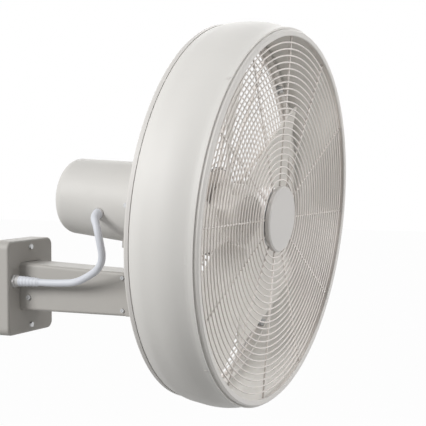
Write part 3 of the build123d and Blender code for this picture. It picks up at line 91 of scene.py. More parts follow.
def way_out(angle):
    """The direction straight out from the blades' axis at an angle."""
    return (on_head(0, angle, 1) - HEAD).normalized()


print("front ring centre", [round(value, 4) for value in HEAD])

# %% [markdown]
# The photograph was taken from the fan's left, a little above level, with a long lens. A camera could be
# placed by eye, but its lens and place were found by fitting the drum's two ends and the guard's rings,
# so they are used as measured. BACK points from the fan to the camera, and RIGHT and ABOVE are the
# picture's own directions. RIGHT is level, so the picture doesn't lean.

# %% Camera
BACK = Vector((-0.90299, -0.42633, 0.05337))
RIGHT = Vector((0.42694, -0.90428, 0.0))
ABOVE = BACK.cross(RIGHT)
CAMERA_BACK, CAMERA_RIGHT, CAMERA_ABOVE = 1.55152, -0.07654, 0.00688
FOCAL_PIXELS, IMAGE_PIXELS = 1327.66, 426
SENSOR_WIDTH = 36.0

camera_data = bpy.data.cameras.new("camera")
camera_data.sensor_width = SENSOR_WIDTH
camera_data.lens = FOCAL_PIXELS * SENSOR_WIDTH / IMAGE_PIXELS
camera = bpy.data.objects.new("camera", camera_data)
bpy.context.scene.collection.objects.link(camera)
camera.location = HEAD + BACK * CAMERA_BACK + RIGHT * CAMERA_RIGHT + ABOVE * CAMERA_ABOVE
camera.rotation_mode = "QUATERNION"
camera.rotation_quaternion = BACK.to_track_quat("Z", "Y")
bpy.context.scene.camera = camera
print("camera at", [round(value, 3) for value in camera.location], "lens", round(camera_data.lens, 1), "mm")

# %% [markdown]
# The mains cord leaves the side of the motor can, drops to the arm and runs back along it into the wall
# cover. A Bezier curve would need a pair of handles at each point. A NURBS curve is smooth with nothing
# but its control points, so the cord's route is a short list of those.

# %% Cord route
CORD_DIAMETER = 0.009
GROMMET_DEPTH, GROMMET_ANGLE, GROMMET_LIP = 0.2145, 196.3, 0.0023
STRAIGHT_OUT = 0.009
HOUSING_FRONT, HOUSING_BACK = 0.0845, 0.268
HOUSING_FRONT_R, HOUSING_REAR_R = 0.0535, 0.047
grommet_way = way_out(GROMMET_ANGLE)
along_housing = (GROMMET_DEPTH - HOUSING_FRONT) / (HOUSING_BACK - HOUSING_FRONT)
grommet_radius = HOUSING_FRONT_R + (HOUSING_REAR_R - HOUSING_FRONT_R) * along_housing + GROMMET_LIP
CORD_START = on_head(GROMMET_DEPTH, GROMMET_ANGLE, grommet_radius)
CORD_ROUTE = [
    CORD_START,
    CORD_START + grommet_way * STRAIGHT_OUT,
    Vector((-0.0670, -0.1640, 0.0825)),
    Vector((-0.0675, -0.1685, 0.0640)),
    Vector((-0.0625, -0.1695, 0.0460)),
    Vector((-0.0560, -0.1600, 0.0315)),
    Vector((-0.0470, -0.1395, 0.0205)),
    Vector((-0.0400, -0.1175, 0.0115)),
    Vector((-0.0380, -0.0940, 0.0097)),
    Vector((-0.0386, -0.0740, 0.0092)),
    Vector((-0.0382, -0.0550, 0.0096)),
    Vector((-0.0380, -0.0360, 0.0097)),
]
print("cord leaves the can at", [round(value, 4) for value in CORD_START])

# %% [markdown]
# Blender works out the curve itself. With no bevel, its mesh is just a row of points along the line, and
# those are all that the next steps need.

# %% Cord line
CURVE_STEPS = 24


def smooth_line(points):
    """Points closely along the NURBS curve that has these control points."""
    curve = bpy.data.curves.new("line", "CURVE")
    curve.dimensions = "3D"
    curve.resolution_u = CURVE_STEPS
    spline = curve.splines.new("NURBS")
    spline.points.add(len(points) - 1)
    for target, point in zip(spline.points, points):
        target.co = (*point, 1.0)
    spline.order_u = 3
    spline.use_endpoint_u = True
    holder = bpy.data.objects.new("line", curve)
    bpy.context.scene.collection.objects.link(holder)
    bpy.context.view_layer.update()
    mesh = bpy.data.meshes.new_from_object(holder)
    line = [vertex.co.copy() for vertex in mesh.vertices]
    bpy.data.objects.remove(holder)
    bpy.data.meshes.remove(mesh)
    return line


def line_length(line):
    """The length of a row of points."""
    return sum((b - a).length for a, b in zip(line, line[1:]))


cord_line = smooth_line(CORD_ROUTE)
cord_length = line_length(cord_line)
print("cord line points", len(cord_line), "length in mm", round(cord_length * 1000, 1))

# %% [markdown]
# The curve's points stand closer together where its control points do. Rings at even steps shade better
# and bend better, so the line is measured out again.

# %% Even steps along the cord
RING_STEP = 0.0012
SMALLEST = 1e-9


def steps_along(line, step):
    """The line's points at even steps, its two ends kept."""
    total = line_length(line)
    count = max(2, round(total / step))
    wanted = [total * i / count for i in range(count + 1)]
    points, run, i = [], 0.0, 0
    for target in wanted:
        while i < len(line) - 2 and run + (line[i + 1] - line[i]).length < target:
            run += (line[i + 1] - line[i]).length
            i += 1
        reach = (line[i + 1] - line[i]).length
        points.append(line[i].lerp(line[i + 1], min(1.0, (target - run) / max(reach, SMALLEST))))
    return points


cord_points = steps_along(cord_line, RING_STEP)
print("cord rings", len(cord_points))

# %% [markdown]
# A round cord is a row of rings joined up. A bevelled curve would make one too, but here two tubes have
# to meet in the very same ring, so the rings are made by hand. Each ring is square to the line and mustn't
# spin about it, so the first ring's side direction is carried along and only straightened as the line
# turns. The end caps get vertices of their own, so that the round side's shading doesn't bend towards
# them. The same helper makes tapered sleeves, whose rings simply get smaller.

# %% Tubes along a line
CORD_SIDES = 20


def tube(name, line, radii, sides=CORD_SIDES, keep=None):
    """A closed round tube along the points, with a radius at each; keep gives its first and last ring."""
    first, last = keep or (0, len(line) - 1)
    mesh = bmesh.new()
    side = None
    rings = []
    for i, point in enumerate(line):
        ahead = (line[min(i + 1, len(line) - 1)] - line[max(i - 1, 0)]).normalized()
        side = ahead.orthogonal() if side is None else side - ahead * side.dot(ahead)
        side = side.normalized()
        other = ahead.cross(side)
        if not first <= i <= last:
            continue
        ring = []
        for k in range(sides):
            turn = 2 * math.pi * k / sides
            outward = side * math.cos(turn) + other * math.sin(turn)
            ring.append(mesh.verts.new(point + outward * radii[i]))
        rings.append(ring)
    for ring, following in zip(rings, rings[1:]):
        for k in range(sides):
            after = (k + 1) % sides
            mesh.faces.new((ring[k], ring[after], following[after], following[k])).smooth = True
    for end in (rings[0][::-1], rings[-1]):
        mesh.faces.new([mesh.verts.new(vertex.co) for vertex in end])
    return as_object(mesh, name)


def as_object(mesh, name):
    """The finished mesh as an object in the scene."""
    made = bpy.data.meshes.new(name)
    mesh.to_mesh(made)
    mesh.free()
    piece = bpy.data.objects.new(name, made)
    bpy.context.scene.collection.objects.link(piece)
    return piece


print("tubes have", CORD_SIDES, "sides unless they say otherwise")

# %% [markdown]
# The cord has to bend when the head swivels and when it tilts, but a piece can bend only between two
# bodies that share a joint. So the cord is cut in its drop into an upper stretch, next to the head and the
# yoke, which take up the tilt between them, and a lower one, next to the yoke and the wall arm, which take
# up the swivel between them.

# %% Cord in its two stretches
UPPER_STRETCH = 0.057
SLEEVE_WAY = Vector((-0.511, -0.517, -0.689))
SLEEVE_REACH = 0.011
ring_step = cord_length / (len(cord_points) - 1)
split = round(UPPER_STRETCH / ring_step)
head_end = CORD_START + grommet_way * STRAIGHT_OUT + SLEEVE_WAY * SLEEVE_REACH
cord_radii = [CORD_DIAMETER / 2] * len(cord_points)
cord_upper = tube("mains_cord_upper", cord_points, cord_radii, keep=(0, split))
cord_lower = tube("mains_cord_lower", cord_points, cord_radii, keep=(split, len(cord_points) - 1))
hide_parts("mains_cord")
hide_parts("mains_cord")
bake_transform(cord_upper)
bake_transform(cord_lower)
print("cord is cut at", [round(value, 4) for value in cord_points[split]])

# %% [markdown]
# Where a cord leaves a housing it would crease, so a soft tapered sleeve is moulded round it. It could be
# a straight cone that is then bent, but the cord already has its rings, so a sleeve takes the ones at its
# end of the cord and makes them larger. The one at the motor is plain and short, as in the photograph.
# The one at the wall cover can't be seen there; it has the usual ribs, two rings high and two rings low.

# %% Strain reliefs
SLEEVE_SIDES = 28
MOTOR_SLEEVE, MOTOR_SLEEVE_RADIUS, MOTOR_SLEEVE_TAPER, TAPER_POWER = 0.021, 0.0061, 0.0015, 0.8
WALL_SLEEVE, WALL_SLEEVE_RADIUS, WALL_SLEEVE_TAPER = 0.030, 0.0062, 0.0014
RIB_HEIGHT, LAST_RIB = 0.0006, 0.92


def line_part(line, length):
    """The first stretch of a line."""
    kept, run = [line[0]], 0.0
    for a, b in zip(line, line[1:]):
        run += (b - a).length
        if run > length:
            break
        kept.append(b)
    return kept


motor_sleeve_line = line_part(cord_points, MOTOR_SLEEVE)
motor_sleeve_radii = []
for i in range(len(motor_sleeve_line)):
    share = i / (len(motor_sleeve_line) - 1)
    motor_sleeve_radii.append(MOTOR_SLEEVE_RADIUS - MOTOR_SLEEVE_TAPER * share ** TAPER_POWER)
motor_sleeve = tube("motor_strain_relief", motor_sleeve_line, motor_sleeve_radii, SLEEVE_SIDES)
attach(motor_sleeve, "fan_head")

wall_sleeve_line = line_part(cord_points[::-1], WALL_SLEEVE)
wall_sleeve_radii = []
for i in range(len(wall_sleeve_line)):
    share = i / (len(wall_sleeve_line) - 1)
    rib = RIB_HEIGHT if (i // 2) % 2 == 0 and share < LAST_RIB else 0.0
    wall_sleeve_radii.append(WALL_SLEEVE_RADIUS - WALL_SLEEVE_TAPER * share + rib)
wall_sleeve = tube("wall_strain_relief", wall_sleeve_line, wall_sleeve_radii, SLEEVE_SIDES)
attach(wall_sleeve, "wall_arm")
print("sleeve rings: motor", len(motor_sleeve_line), "wall", len(wall_sleeve_line))

# %% [markdown]
# A mesh doesn't say that it is a cord. Here the line of each stretch is taken out, and its length is
# measured.

# %% Length of each stretch
upper_line = cord_points[: split + 1]
lower_line = cord_points[split:]
line_length(upper_line)
line_length(lower_line)
print("stretches in mm:", [round(line_length(line) * 1000, 1) for line in (upper_line, lower_line)])

# %% [markdown]
# The front guard is rings of drawn steel wire, with a thicker one as its rim. The CAD solid gives a wire
# only a few flat sides, so the guard is made again here with round ones. A torus for each ring would do
# as well, but every torus would have to be tilted with the head, while these points stand on the head's
# own axes from the start. A larger ring gets more steps, so that none of them shows corners.

# %% Front guard rings
RING_COUNT, RING_FIRST, RING_LAST = 22, 0.0459, 0.2051
RING_DEPTH, RING_WIRE, RING_SIDES = 0.0002, 0.0010, 8
RIM_RADIUS, RIM_DEPTH, RIM_WIRE, RIM_SIDES = 0.2148, 0.0006, 0.0015, 10
SPOKE_DEPTH, CORE_RADIUS = 0.0018, 0.030
CORE_STEPS, INNER_STEPS, OUTER_STEPS = 96, 120, 180
OUTER_FROM = 0.12
ring_radii = [RING_FIRST + (RING_LAST - RING_FIRST) * i / (RING_COUNT - 1) for i in range(RING_COUNT)]


def add_ring(mesh, depth, radius, wire, steps, sides):
    """A closed round wire about the blades' axis."""
    hoops = []
    for i in range(steps):
        hoop = []
        for k in range(sides):
            turn = 2 * math.pi * k / sides
            hoop.append(mesh.verts.new(
                on_head(depth + wire * math.sin(turn), 360 * i / steps, radius + wire * math.cos(turn))
            ))
        hoops.append(hoop)
    for i in range(steps):
        hoop, following = hoops[i], hoops[(i + 1) % steps]
        for k in range(sides):
            after = (k + 1) % sides
            mesh.faces.new((hoop[k], following[k], following[after], hoop[after])).smooth = True


def guard_piece(mesh, name):
    """The mesh as a piece of the guard, with its faces turned outwards, that rides on the head."""
    bmesh.ops.recalc_face_normals(mesh, faces=mesh.faces)
    piece = as_object(mesh, name)
    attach(piece, "fan_head")
    return piece


mesh = bmesh.new()
for radius in ring_radii:
    steps = INNER_STEPS if radius < OUTER_FROM else OUTER_STEPS
    add_ring(mesh, RING_DEPTH, radius, RING_WIRE, steps, RING_SIDES)
add_ring(mesh, RIM_DEPTH, RIM_RADIUS, RIM_WIRE, OUTER_STEPS, RIM_SIDES)
add_ring(mesh, SPOKE_DEPTH, CORE_RADIUS, RING_WIRE, CORE_STEPS, RING_SIDES)
guard_rings = guard_piece(mesh, "guard_rings")
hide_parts("front_guard")
print("guard rings:", RING_COUNT, "and the rim and the core ring")

# %% [markdown]
# The spokes lie behind the rings, from a small core ring under the cap out to the rim. Each is one
# straight wire, so two hoops joined by long faces are enough, and a cylinder would need turning into place.

# %% Front guard spokes
SPOKE_COUNT, SPOKE_WIRE, SPOKE_SIDES = 12, 0.0012, 10
spoke_angles = [360 * i / SPOKE_COUNT for i in range(SPOKE_COUNT)]


def add_spoke(mesh, angle):
    """A straight wire from the core ring to the rim."""
    start = on_head(SPOKE_DEPTH, angle, CORE_RADIUS)
    end = on_head(SPOKE_DEPTH, angle, RIM_RADIUS)
    side = REARWARD.cross((end - start).normalized())
    hoops = []
    for point in (start, end):
        hoop = []
        for k in range(SPOKE_SIDES):
            turn = 2 * math.pi * k / SPOKE_SIDES
            across = side * math.cos(turn) + REARWARD * math.sin(turn)
            hoop.append(mesh.verts.new(point + across * SPOKE_WIRE))
        hoops.append(hoop)
    for k in range(SPOKE_SIDES):
        after = (k + 1) % SPOKE_SIDES
        mesh.faces.new((hoops[0][k], hoops[1][k], hoops[1][after], hoops[0][after])).smooth = True
    for hoop in hoops:
        mesh.faces.new(hoop)


mesh = bmesh.new()
for angle in spoke_angles:
    add_spoke(mesh, angle)
guard_spokes = guard_piece(mesh, "guard_spokes")
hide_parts("front_guard")
print("guard spokes:", SPOKE_COUNT)

# %% [markdown]
# Every place where a ring crosses a spoke is a resistance weld, which leaves a small swollen bead. A bump
# in the material can't swell a wire's outline, so each bead is a small ball, drawn out along its ring.

# %% Front guard welds
RING_BEAD = (0.0014, 0.0017, 0.0010)
RIM_BEAD = (0.0017, 0.0021, 0.0013)


def add_bead(mesh, depth, angle, radius, size):
    """A bead by its place, and its size outwards, along the ring and in depth."""
    outward = way_out(angle)
    turn = Matrix((outward, REARWARD.cross(outward), REARWARD)).transposed().to_4x4()
    shape = Matrix.Diagonal((*size, 1.0))
    place = Matrix.Translation(on_head(depth, angle, radius))
    bead = bmesh.ops.create_icosphere(mesh, subdivisions=1, radius=1.0, matrix=place @ turn @ shape)
    for vertex in bead["verts"]:
        for face in vertex.link_faces:
            face.smooth = True


mesh = bmesh.new()
for angle in spoke_angles:
    for radius in ring_radii:
        add_bead(mesh, (RING_DEPTH + SPOKE_DEPTH) / 2, angle, radius, RING_BEAD)
    add_bead(mesh, (RIM_DEPTH + SPOKE_DEPTH) / 2, angle, RIM_RADIUS, RIM_BEAD)
guard_welds = guard_piece(mesh, "guard_welds")
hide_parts("front_guard")
print("guard welds:", SPOKE_COUNT * (RING_COUNT + 1))

# %% [markdown]
# A finish is a sum of noises and masks. Wiring each sum by hand makes long code, so one small class wraps
# a shader socket and gives it plus, minus and times: an expression on values then adds its own Math
# nodes. Colours and vectors must not go through Math nodes, which would turn a colour grey, so they use
# Mix and Vector Math nodes.

# %% Shader sums


def plug(tree, socket, value):
    """Link a wrapped value to a socket, or set the socket to a plain one."""
    if isinstance(value, Signal):
        tree.links.new(value.socket, socket)
    else:
        socket.default_value = value


class Signal:
    """A value in a material, wrapped so that it can be used in sums."""

    def __init__(self, socket, tree):
        self.socket, self.tree = socket, tree

    def join(self, operation, first, second):
        node = self.tree.nodes.new("ShaderNodeMath")
        node.operation = operation
        plug(self.tree, node.inputs[0], first)
        plug(self.tree, node.inputs[1], second)
        return Signal(node.outputs[0], self.tree)

    def __add__(self, other):
        return self.join("ADD", self, other)

    def __radd__(self, other):
        return self.join("ADD", other, self)

    def __sub__(self, other):
        return self.join("SUBTRACT", self, other)

    def __rsub__(self, other):
        return self.join("SUBTRACT", other, self)

    def __mul__(self, other):
        return self.join("MULTIPLY", self, other)

    def __rmul__(self, other):
        return self.join("MULTIPLY", other, self)


print("sums that are ready: +, - and *")

# %% [markdown]
# Every other node comes from one method, which takes the node's type, its settings, and the values or
# links of its sockets. A few short methods on top of it name what is used most: a noise, a mask, a mix of
# two colours, a distance along a direction and a bump. Object coordinates are used because no piece is
# unwrapped, and they are in real metres, so a grain keeps its size on every piece.

# %% Finishes
NOISE_ROUGHNESS = 0.55


class Finish:
    """One material, built up node by node."""

    def __init__(self, name, **constants):
        self.material = bpy.data.materials.new(name)
        self.material.use_nodes = True
        self.tree = self.material.node_tree
        self.shader = self.tree.nodes["Principled BSDF"]
        for socket, value in constants.items():
            self.shader.inputs[socket.replace("_", " ")].default_value = value
        self.place = self.node("ShaderNodeTexCoord", out="Object")

    def node(self, kind, settings=None, sockets=None, out=0):
        """Any node. Its settings are set first, then its sockets get their values or links."""
        made = self.tree.nodes.new(kind)
        for setting, value in (settings or {}).items():
            setattr(made, setting, value)
        for socket, value in (sockets or {}).items():
            plug(self.tree, made.inputs[socket], value)
        return Signal(made.outputs[out], self.tree)

    def noise(self, scale, detail=2.0):
        """Soft noise from 0 to 1, about as many blotches to the metre as its scale."""
        sockets = {"Vector": self.place, "Scale": scale, "Detail": detail, "Roughness": NOISE_ROUGHNESS}
        return self.node("ShaderNodeTexNoise", sockets=sockets, out="Fac")

    def mask(self, value, low, high):
        """0 below low, 1 above high, and smooth between them."""
        return self.node(
            "ShaderNodeMapRange", {"interpolation_type": "SMOOTHSTEP"},
            {"Value": value, "From Min": low, "From Max": high},
        )

    def mix(self, share, first, second):
        """From the first colour to the second."""
        return self.node("ShaderNodeMix", {"data_type": "RGBA"}, {0: share, 6: first, 7: second}, out=2)

    def along(self, direction):
        """How far each point lies along a direction, in metres."""
        return self.node(
            "ShaderNodeVectorMath", {"operation": "DOT_PRODUCT"},
            {0: self.place, 1: tuple(direction)}, out="Value",
        )

    def relief(self, height, distance):
        """A bump of about this many metres."""
        sockets = {"Height": height, "Distance": distance}
        self.wear("Normal", self.node("ShaderNodeBump", sockets=sockets, out="Normal"))

    def wear(self, socket, value):
        """Give one of the shader's own sockets a value or a link."""
        plug(self.tree, self.shader.inputs[socket], value)


def shade(red, green, blue):
    """A colour as a screen shows it, 0 to 255, as the linear colour that shaders use."""
    linear = []
    for value in (red, green, blue):
        share = value / 255
        linear.append(share / 12.92 if share <= 0.04045 else ((share + 0.055) / 1.055) ** 2.4)
    return (*linear, 1.0)


def dim(colour, share):
    """The same colour, lighter or darker."""
    return (colour[0] * share, colour[1] * share, colour[2] * share, 1.0)


print("finishes are ready")

# %% [markdown]
# The drum, the motor can, the arm and the wall cover are sheet steel under a warm light grey powder coat,
# which is a little darker on the can. The arm, the wall cover and the pieces between them get a darker
# copy of the same coat, which is painted shade. Powder melts into a skin with a fine orange peel, about two
# millimetres from bump to bump, and with a faint cloudiness. The peel could be modelled, but it is far
# finer than the mesh, so noise through a bump makes it, with a finer noise mixed in.

# %% Powder coat


def powder_coat(name, colour, roughness=0.54, peel=0.00005):
    finish = Finish(name)
    cloud = finish.noise(scale=11.0, detail=3.0)
    grime = finish.mask(finish.noise(scale=38.0, detail=4.0), low=0.55, high=0.85)
    tone = finish.mix(cloud, dim(colour, 0.955), dim(colour, 1.02))
    finish.wear("Base Color", finish.mix(grime * 0.12, tone, dim(colour, 0.80)))
    finish.wear("Roughness", roughness - 0.05 + cloud * 0.08 + grime * 0.10)
    finish.relief(finish.noise(scale=520.0) * 0.8 + finish.noise(scale=1500.0, detail=1.0) * 0.2, peel)
    return finish.material


drum_paint = powder_coat("warm_grey_powder_coat", shade(228, 226, 222))
housing_paint = powder_coat("housing_powder_coat", shade(216, 214, 210), roughness=0.56)
# The arm's coat is the same powder coat darkened: painted shade.
shaded_arm_paint = powder_coat("arm_powder_coat_painted_shade", shade(182, 179, 174), roughness=0.56)
print("paints:", drum_paint.name, housing_paint.name, shaded_arm_paint.name)

# %% [markdown]
# The wires are dipped, not sprayed: their plastic coat is smoother and a little pinker than the drum's,
# and it pools unevenly. One noise drives the colour, the gloss and the bump together, because a thicker
# pool changes all three.

# %% Coated wire


def coated_wire(name, colour):
    finish = Finish(name, Coat_Roughness=0.25)
    pool = finish.noise(scale=90.0, detail=3.0)
    finish.wear("Base Color", finish.mix(pool, dim(colour, 0.93), dim(colour, 1.03)))
    finish.wear("Roughness", 0.34 + pool * 0.14)
    finish.wear("Coat Weight", 0.15 + pool * 0.10)
    finish.relief(pool * 0.6 + finish.noise(scale=700.0, detail=1.0) * 0.4, 0.00008)
    return finish.material


wire_coat = coated_wire("guard_wire_coat", shade(236, 230, 225))
print("wire:", wire_coat.name)

# %% [markdown]
# The rings and the cap are moulded in light plastic. The mould is spark eroded, which leaves a fine
# texture that takes away the shine. One recipe with a few settings serves every moulded piece: the size
# of the grain, its depth and the gloss tell them apart.

# %% Moulded plastics


def moulded_plastic(name, colour, roughness=0.48, grain=0.00004, scale=1100.0):
    finish = Finish(name)
    cloud = finish.noise(scale=16.0)
    finish.wear("Base Color", finish.mix(cloud, dim(colour, 0.965), dim(colour, 1.015)))
    finish.wear("Roughness", roughness - 0.04 + cloud * 0.08)
    finish.relief(finish.noise(scale), grain)
    return finish.material


ring_plastic = moulded_plastic("light_ring_plastic", shade(222, 219, 215))
cap_plastic = moulded_plastic("cap_plastic", shade(212, 209, 206), roughness=0.42)
dark_plastic = moulded_plastic("dark_block_plastic", shade(66, 64, 62), roughness=0.38)
slide_plastic = moulded_plastic("bearing_plastic", shade(224, 221, 210), roughness=0.5, scale=600.0)
grommet_rubber = moulded_plastic("grommet_rubber", shade(198, 197, 196), roughness=0.6, scale=900.0)
board = moulded_plastic("circuit_board", shade(34, 96, 58), roughness=0.36, scale=1600.0)
print("plastics:", ring_plastic.name, cap_plastic.name, dark_plastic.name, slide_plastic.name)

# %% [markdown]
# The blades are moulded too, but polished, so they get a thin clear coat. The plastic cools as it runs out
# from the hub, which leaves faint flow marks: a slow noise and a quicker one are added up for them.

# %% Blades


def blade_plastic(name, colour):
    finish = Finish(name, Coat_Weight=0.12, Coat_Roughness=0.2)
    flow = finish.noise(scale=55.0, detail=3.0)
    cloud = finish.noise(scale=10.0)
    finish.wear("Base Color", finish.mix(cloud * 0.6 + flow * 0.4, dim(colour, 0.95), dim(colour, 1.02)))
    finish.wear("Roughness", 0.34 + flow * 0.10)
    finish.relief(flow * 0.7 + finish.noise(scale=800.0, detail=1.0) * 0.3, 0.00006)
    return finish.material


blade_white = blade_plastic("blade_plastic", shade(240, 237, 232))
print("blades:", blade_white.name)

# %% [markdown]
# The cord's sheath is soft PVC, cooler in tone than the paint, with a dull surface that has picked up a
# few smudges. A mask keeps the smudges apart, where plain noise would cloud the whole cord. The same
# sheath covers the moulded sleeves at its ends.

# %% Cord sheath


def cord_sheath(name, colour):
    finish = Finish(name)
    smudge = finish.mask(finish.noise(scale=85.0, detail=4.0), low=0.5, high=0.8)
    finish.wear("Base Color", finish.mix(smudge * 0.4, colour, dim(colour, 0.90)))
    finish.wear("Roughness", 0.50 + smudge * 0.14)
    finish.relief(finish.noise(scale=1400.0), 0.00003)
    return finish.material


cord_grey = cord_sheath("cord_sheath", shade(220, 223, 230))
print("cord:", cord_grey.name)

# %% [markdown]
# Inside the can are the motor's metals, and its fixings are plated steel. They are seen only when the part
# is taken apart or looked at from behind, but each gets its own finish. A patchy tone and a fine grain are
# enough for most of them.

# %% Plain metals


def metal(name, colour, roughness, grain=300.0, depth=0.00003, scratch=0.10):
    finish = Finish(name, Metallic=1.0)
    patch = finish.noise(scale=24.0, detail=3.0)
    fine = finish.noise(scale=grain, detail=3.0)
    finish.wear("Base Color", finish.mix(patch, dim(colour, 0.88), colour))
    finish.wear("Roughness", roughness - scratch / 2 + fine * scratch)
    finish.relief(fine, depth)
    return finish.material


plated = metal("zinc_plated_steel", shade(196, 197, 198), roughness=0.30)
cast_shield = metal("cast_alloy", shade(172, 172, 174), roughness=0.46, grain=520.0, depth=0.00009)
capacitor = metal("capacitor_can", shade(206, 206, 208), roughness=0.34, grain=140.0)
print("metals:", plated.name, cast_shield.name, capacitor.name)

# %% [markdown]
# The motor's core is a stack of half millimetre steel sheets, and its windings are copper wire laid side
# by side under varnish. Both are fine bands, too many to model, so a sine wave along one direction draws
# them: along the shaft for the sheets, and upwards for the wire.

# %% Sheets and windings
SHEET_PITCH, WIRE_PITCH = 0.0005, 0.0009


def banded(name, colour, roughness, pitch, depth, direction):
    """Fine bands, one each pitch along a direction."""
    finish = Finish(name, Metallic=0.9)
    turns = finish.along(direction) * (2 * math.pi / pitch)
    wave = finish.node("ShaderNodeMath", {"operation": "SINE"}, {0: turns})
    band = wave * 0.5 + 0.5
    tone = finish.noise(scale=40.0, detail=3.0)
    finish.wear("Base Color", finish.mix(band * 0.6 + tone * 0.4, dim(colour, 0.72), colour))
    finish.wear("Roughness", roughness + tone * 0.12)
    finish.relief(band, depth)
    return finish.material


laminated = banded(
    "steel_sheets", shade(128, 128, 132), roughness=0.38,
    pitch=SHEET_PITCH, depth=0.00005, direction=REARWARD,
)
winding = banded(
    "copper_winding", shade(178, 98, 54), roughness=0.26,
    pitch=WIRE_PITCH, depth=0.00012, direction=UPWARD,
)
print("banded metals:", laminated.name, winding.name)

# %% [markdown]
# Each CAD solid now gets the finish of its real piece, and keeps its shape. A list by name is longer than
# a rule, but no piece can get the wrong finish by chance. The pieces that aren't listed are the fixings,
# the bearings, the shaft and the plate behind the cap, which are all plated or bright steel.

# %% Finish for each piece
FINISHES = {
    "drum": drum_paint, "motor_housing": housing_paint,
    "arm": shaded_arm_paint, "arm_end": shaded_arm_paint, "arm_spigot": shaded_arm_paint, "wall_plate": shaded_arm_paint,
    "wall_cover": shaded_arm_paint, "saddle": shaded_arm_paint, "yoke": shaded_arm_paint,
    "front_ring": ring_plastic, "rear_ring": ring_plastic, "ring_screws": ring_plastic,
    "guard_latch": ring_plastic, "impeller_nut": ring_plastic, "centre_cap": cap_plastic,
    "front_guard": wire_coat, "rear_guard": wire_coat, "impeller": blade_white,
    "cord_gland": grommet_rubber, "cord_grommet": grommet_rubber, "mains_cord": cord_grey,
    "swivel_bushes": slide_plastic, "thrust_washer": slide_plastic, "friction_washers": slide_plastic,
    "motor_front_shield": cast_shield, "motor_rear_shield": cast_shield,
    "stator_core": laminated, "rotor_core": laminated, "stator_winding": winding,
    "run_capacitor": capacitor, "control_board": board, "terminal_block": dark_plastic,
}


def dress(piece, finish):
    """Make this the piece's only material."""
    piece.data.materials.clear()
    piece.data.materials.append(finish)


for name, solid in nodes.items():
    dress(solid, FINISHES.get(name, plated))
for piece in (guard_rings, guard_spokes, guard_welds):
    dress(piece, wire_coat)
for piece in (cord_upper, cord_lower, motor_sleeve, wall_sleeve):
    dress(piece, cord_grey)
print("dressed", len(nodes), "solids, of which plated:", len(set(nodes) - set(FINISHES)))

# %% [markdown]
# The fan stands in a plain white studio, above a pale floor that is far below it, since a fan like this
# hangs on a wall. The camera, and metal or clear plastic that mirrors the room, should see white there,
# while the light that falls on the fan stays modest. The Light Path node tells those rays apart, so white
# costs no extra light. The floor gets nearly all of its white this way, and the rest keeps a faint shadow.

# %% Floor
FLOOR_DEPTH, FLOOR_REACH = -0.75, 12
FLOOR_WHITE = 0.98
mesh = bmesh.new()
corners = ((-1, -1), (1, -1), (1, 1), (-1, 1))
mesh.faces.new([mesh.verts.new((x * FLOOR_REACH, y * FLOOR_REACH, FLOOR_DEPTH)) for x, y in corners])
floor = as_object(mesh, "floor")


def seen_directly(finish):
    """1 for the camera's rays and for rays that mirror or pass through, 0 for light."""
    camera_ray = finish.node("ShaderNodeLightPath", out="Is Camera Ray")
    glossy_ray = finish.node("ShaderNodeLightPath", out="Is Glossy Ray")
    transmission_ray = finish.node("ShaderNodeLightPath", out="Is Transmission Ray")
    return finish.mask(camera_ray + glossy_ray + transmission_ray, low=0.0, high=1.0)


finish = Finish("pale_floor", Roughness=0.8)
finish.wear("Base Color", finish.mix(finish.noise(scale=3.0), shade(150, 150, 149), shade(156, 156, 155)))
lit = Signal(finish.shader.outputs[0], finish.tree)
white = finish.node("ShaderNodeEmission", sockets={"Strength": 1.0})
share = seen_directly(finish) * FLOOR_WHITE
surface = finish.node("ShaderNodeMixShader", sockets={0: share, 1: lit, 2: white})
plug(finish.tree, finish.tree.nodes["Material Output"].inputs["Surface"], surface)
dress(floor, finish.material)
print("floor at", FLOOR_DEPTH, "m")

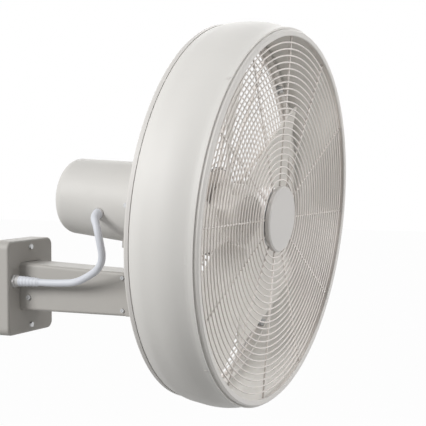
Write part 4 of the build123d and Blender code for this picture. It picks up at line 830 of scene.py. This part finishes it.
# %% [markdown]
# Behind and above everything is the world. It is white where it is seen directly, and for all other rays
# it is a weak even light, which fills the shadows.

# %% Background
AMBIENT = 0.28


class Sky(Finish):
    """The world's nodes, wired with the same methods."""

    def __init__(self, made):
        self.tree = made.node_tree


world = bpy.data.worlds.new("white_room")
bpy.context.scene.world = world
world.use_nodes = True
sky = Sky(world)
seen = seen_directly(sky)
background = world.node_tree.nodes["Background"]
background.inputs["Color"].default_value = (1.0, 1.0, 1.0, 1.0)
plug(sky.tree, background.inputs["Strength"], seen + (1.0 - seen) * AMBIENT)
print("ambient light", AMBIENT)

# %% [markdown]
# In the photograph the light comes from the camera's left and from a little behind the fan: the drum's
# back edge is bright, the slope towards its front is darker, and its underside and the face of the arm
# are in shade. A sun lamp would give hard edges to those shades, so the lamps are large soft discs: a
# strong one there, a second one in front of the guard for the blades, and a weak third one beyond the fan,
# which keeps its far side from going dark when it is looked at from there.

# %% Lamps
LAMPS = (
    # name, metres from the front ring towards the camera, to its right and upwards, width in metres, watts
    ("key_lamp", 1.1, -2.1, 1.0, 1.2, 47.0),
    ("fill_lamp", 0.9, 1.9, 0.6, 1.4, 27.0),
    ("far_lamp", -1.9, 0.2, 0.9, 1.8, 17.0),
)


def soft_lamp(name, place, target, width, watts):
    """A round lamp at a place that shines towards a target."""
    lamp = bpy.data.lights.new(name, "AREA")
    lamp.shape = "DISK"
    lamp.size = width
    lamp.energy = watts
    holder = bpy.data.objects.new(name, lamp)
    bpy.context.scene.collection.objects.link(holder)
    holder.location = place
    holder.rotation_mode = "QUATERNION"
    holder.rotation_quaternion = (place - target).to_track_quat("Z", "Y")


for name, nearer, rightward, higher, width, watts in LAMPS:
    soft_lamp(name, HEAD + BACK * nearer + RIGHT * rightward + ABOVE * higher, HEAD, width, watts)

# %% [markdown]
# The photograph's white is plain white, so the view transform is Standard, which shows a colour as it is
# written.

# %% View
bpy.context.scene.view_settings.view_transform = "Standard"
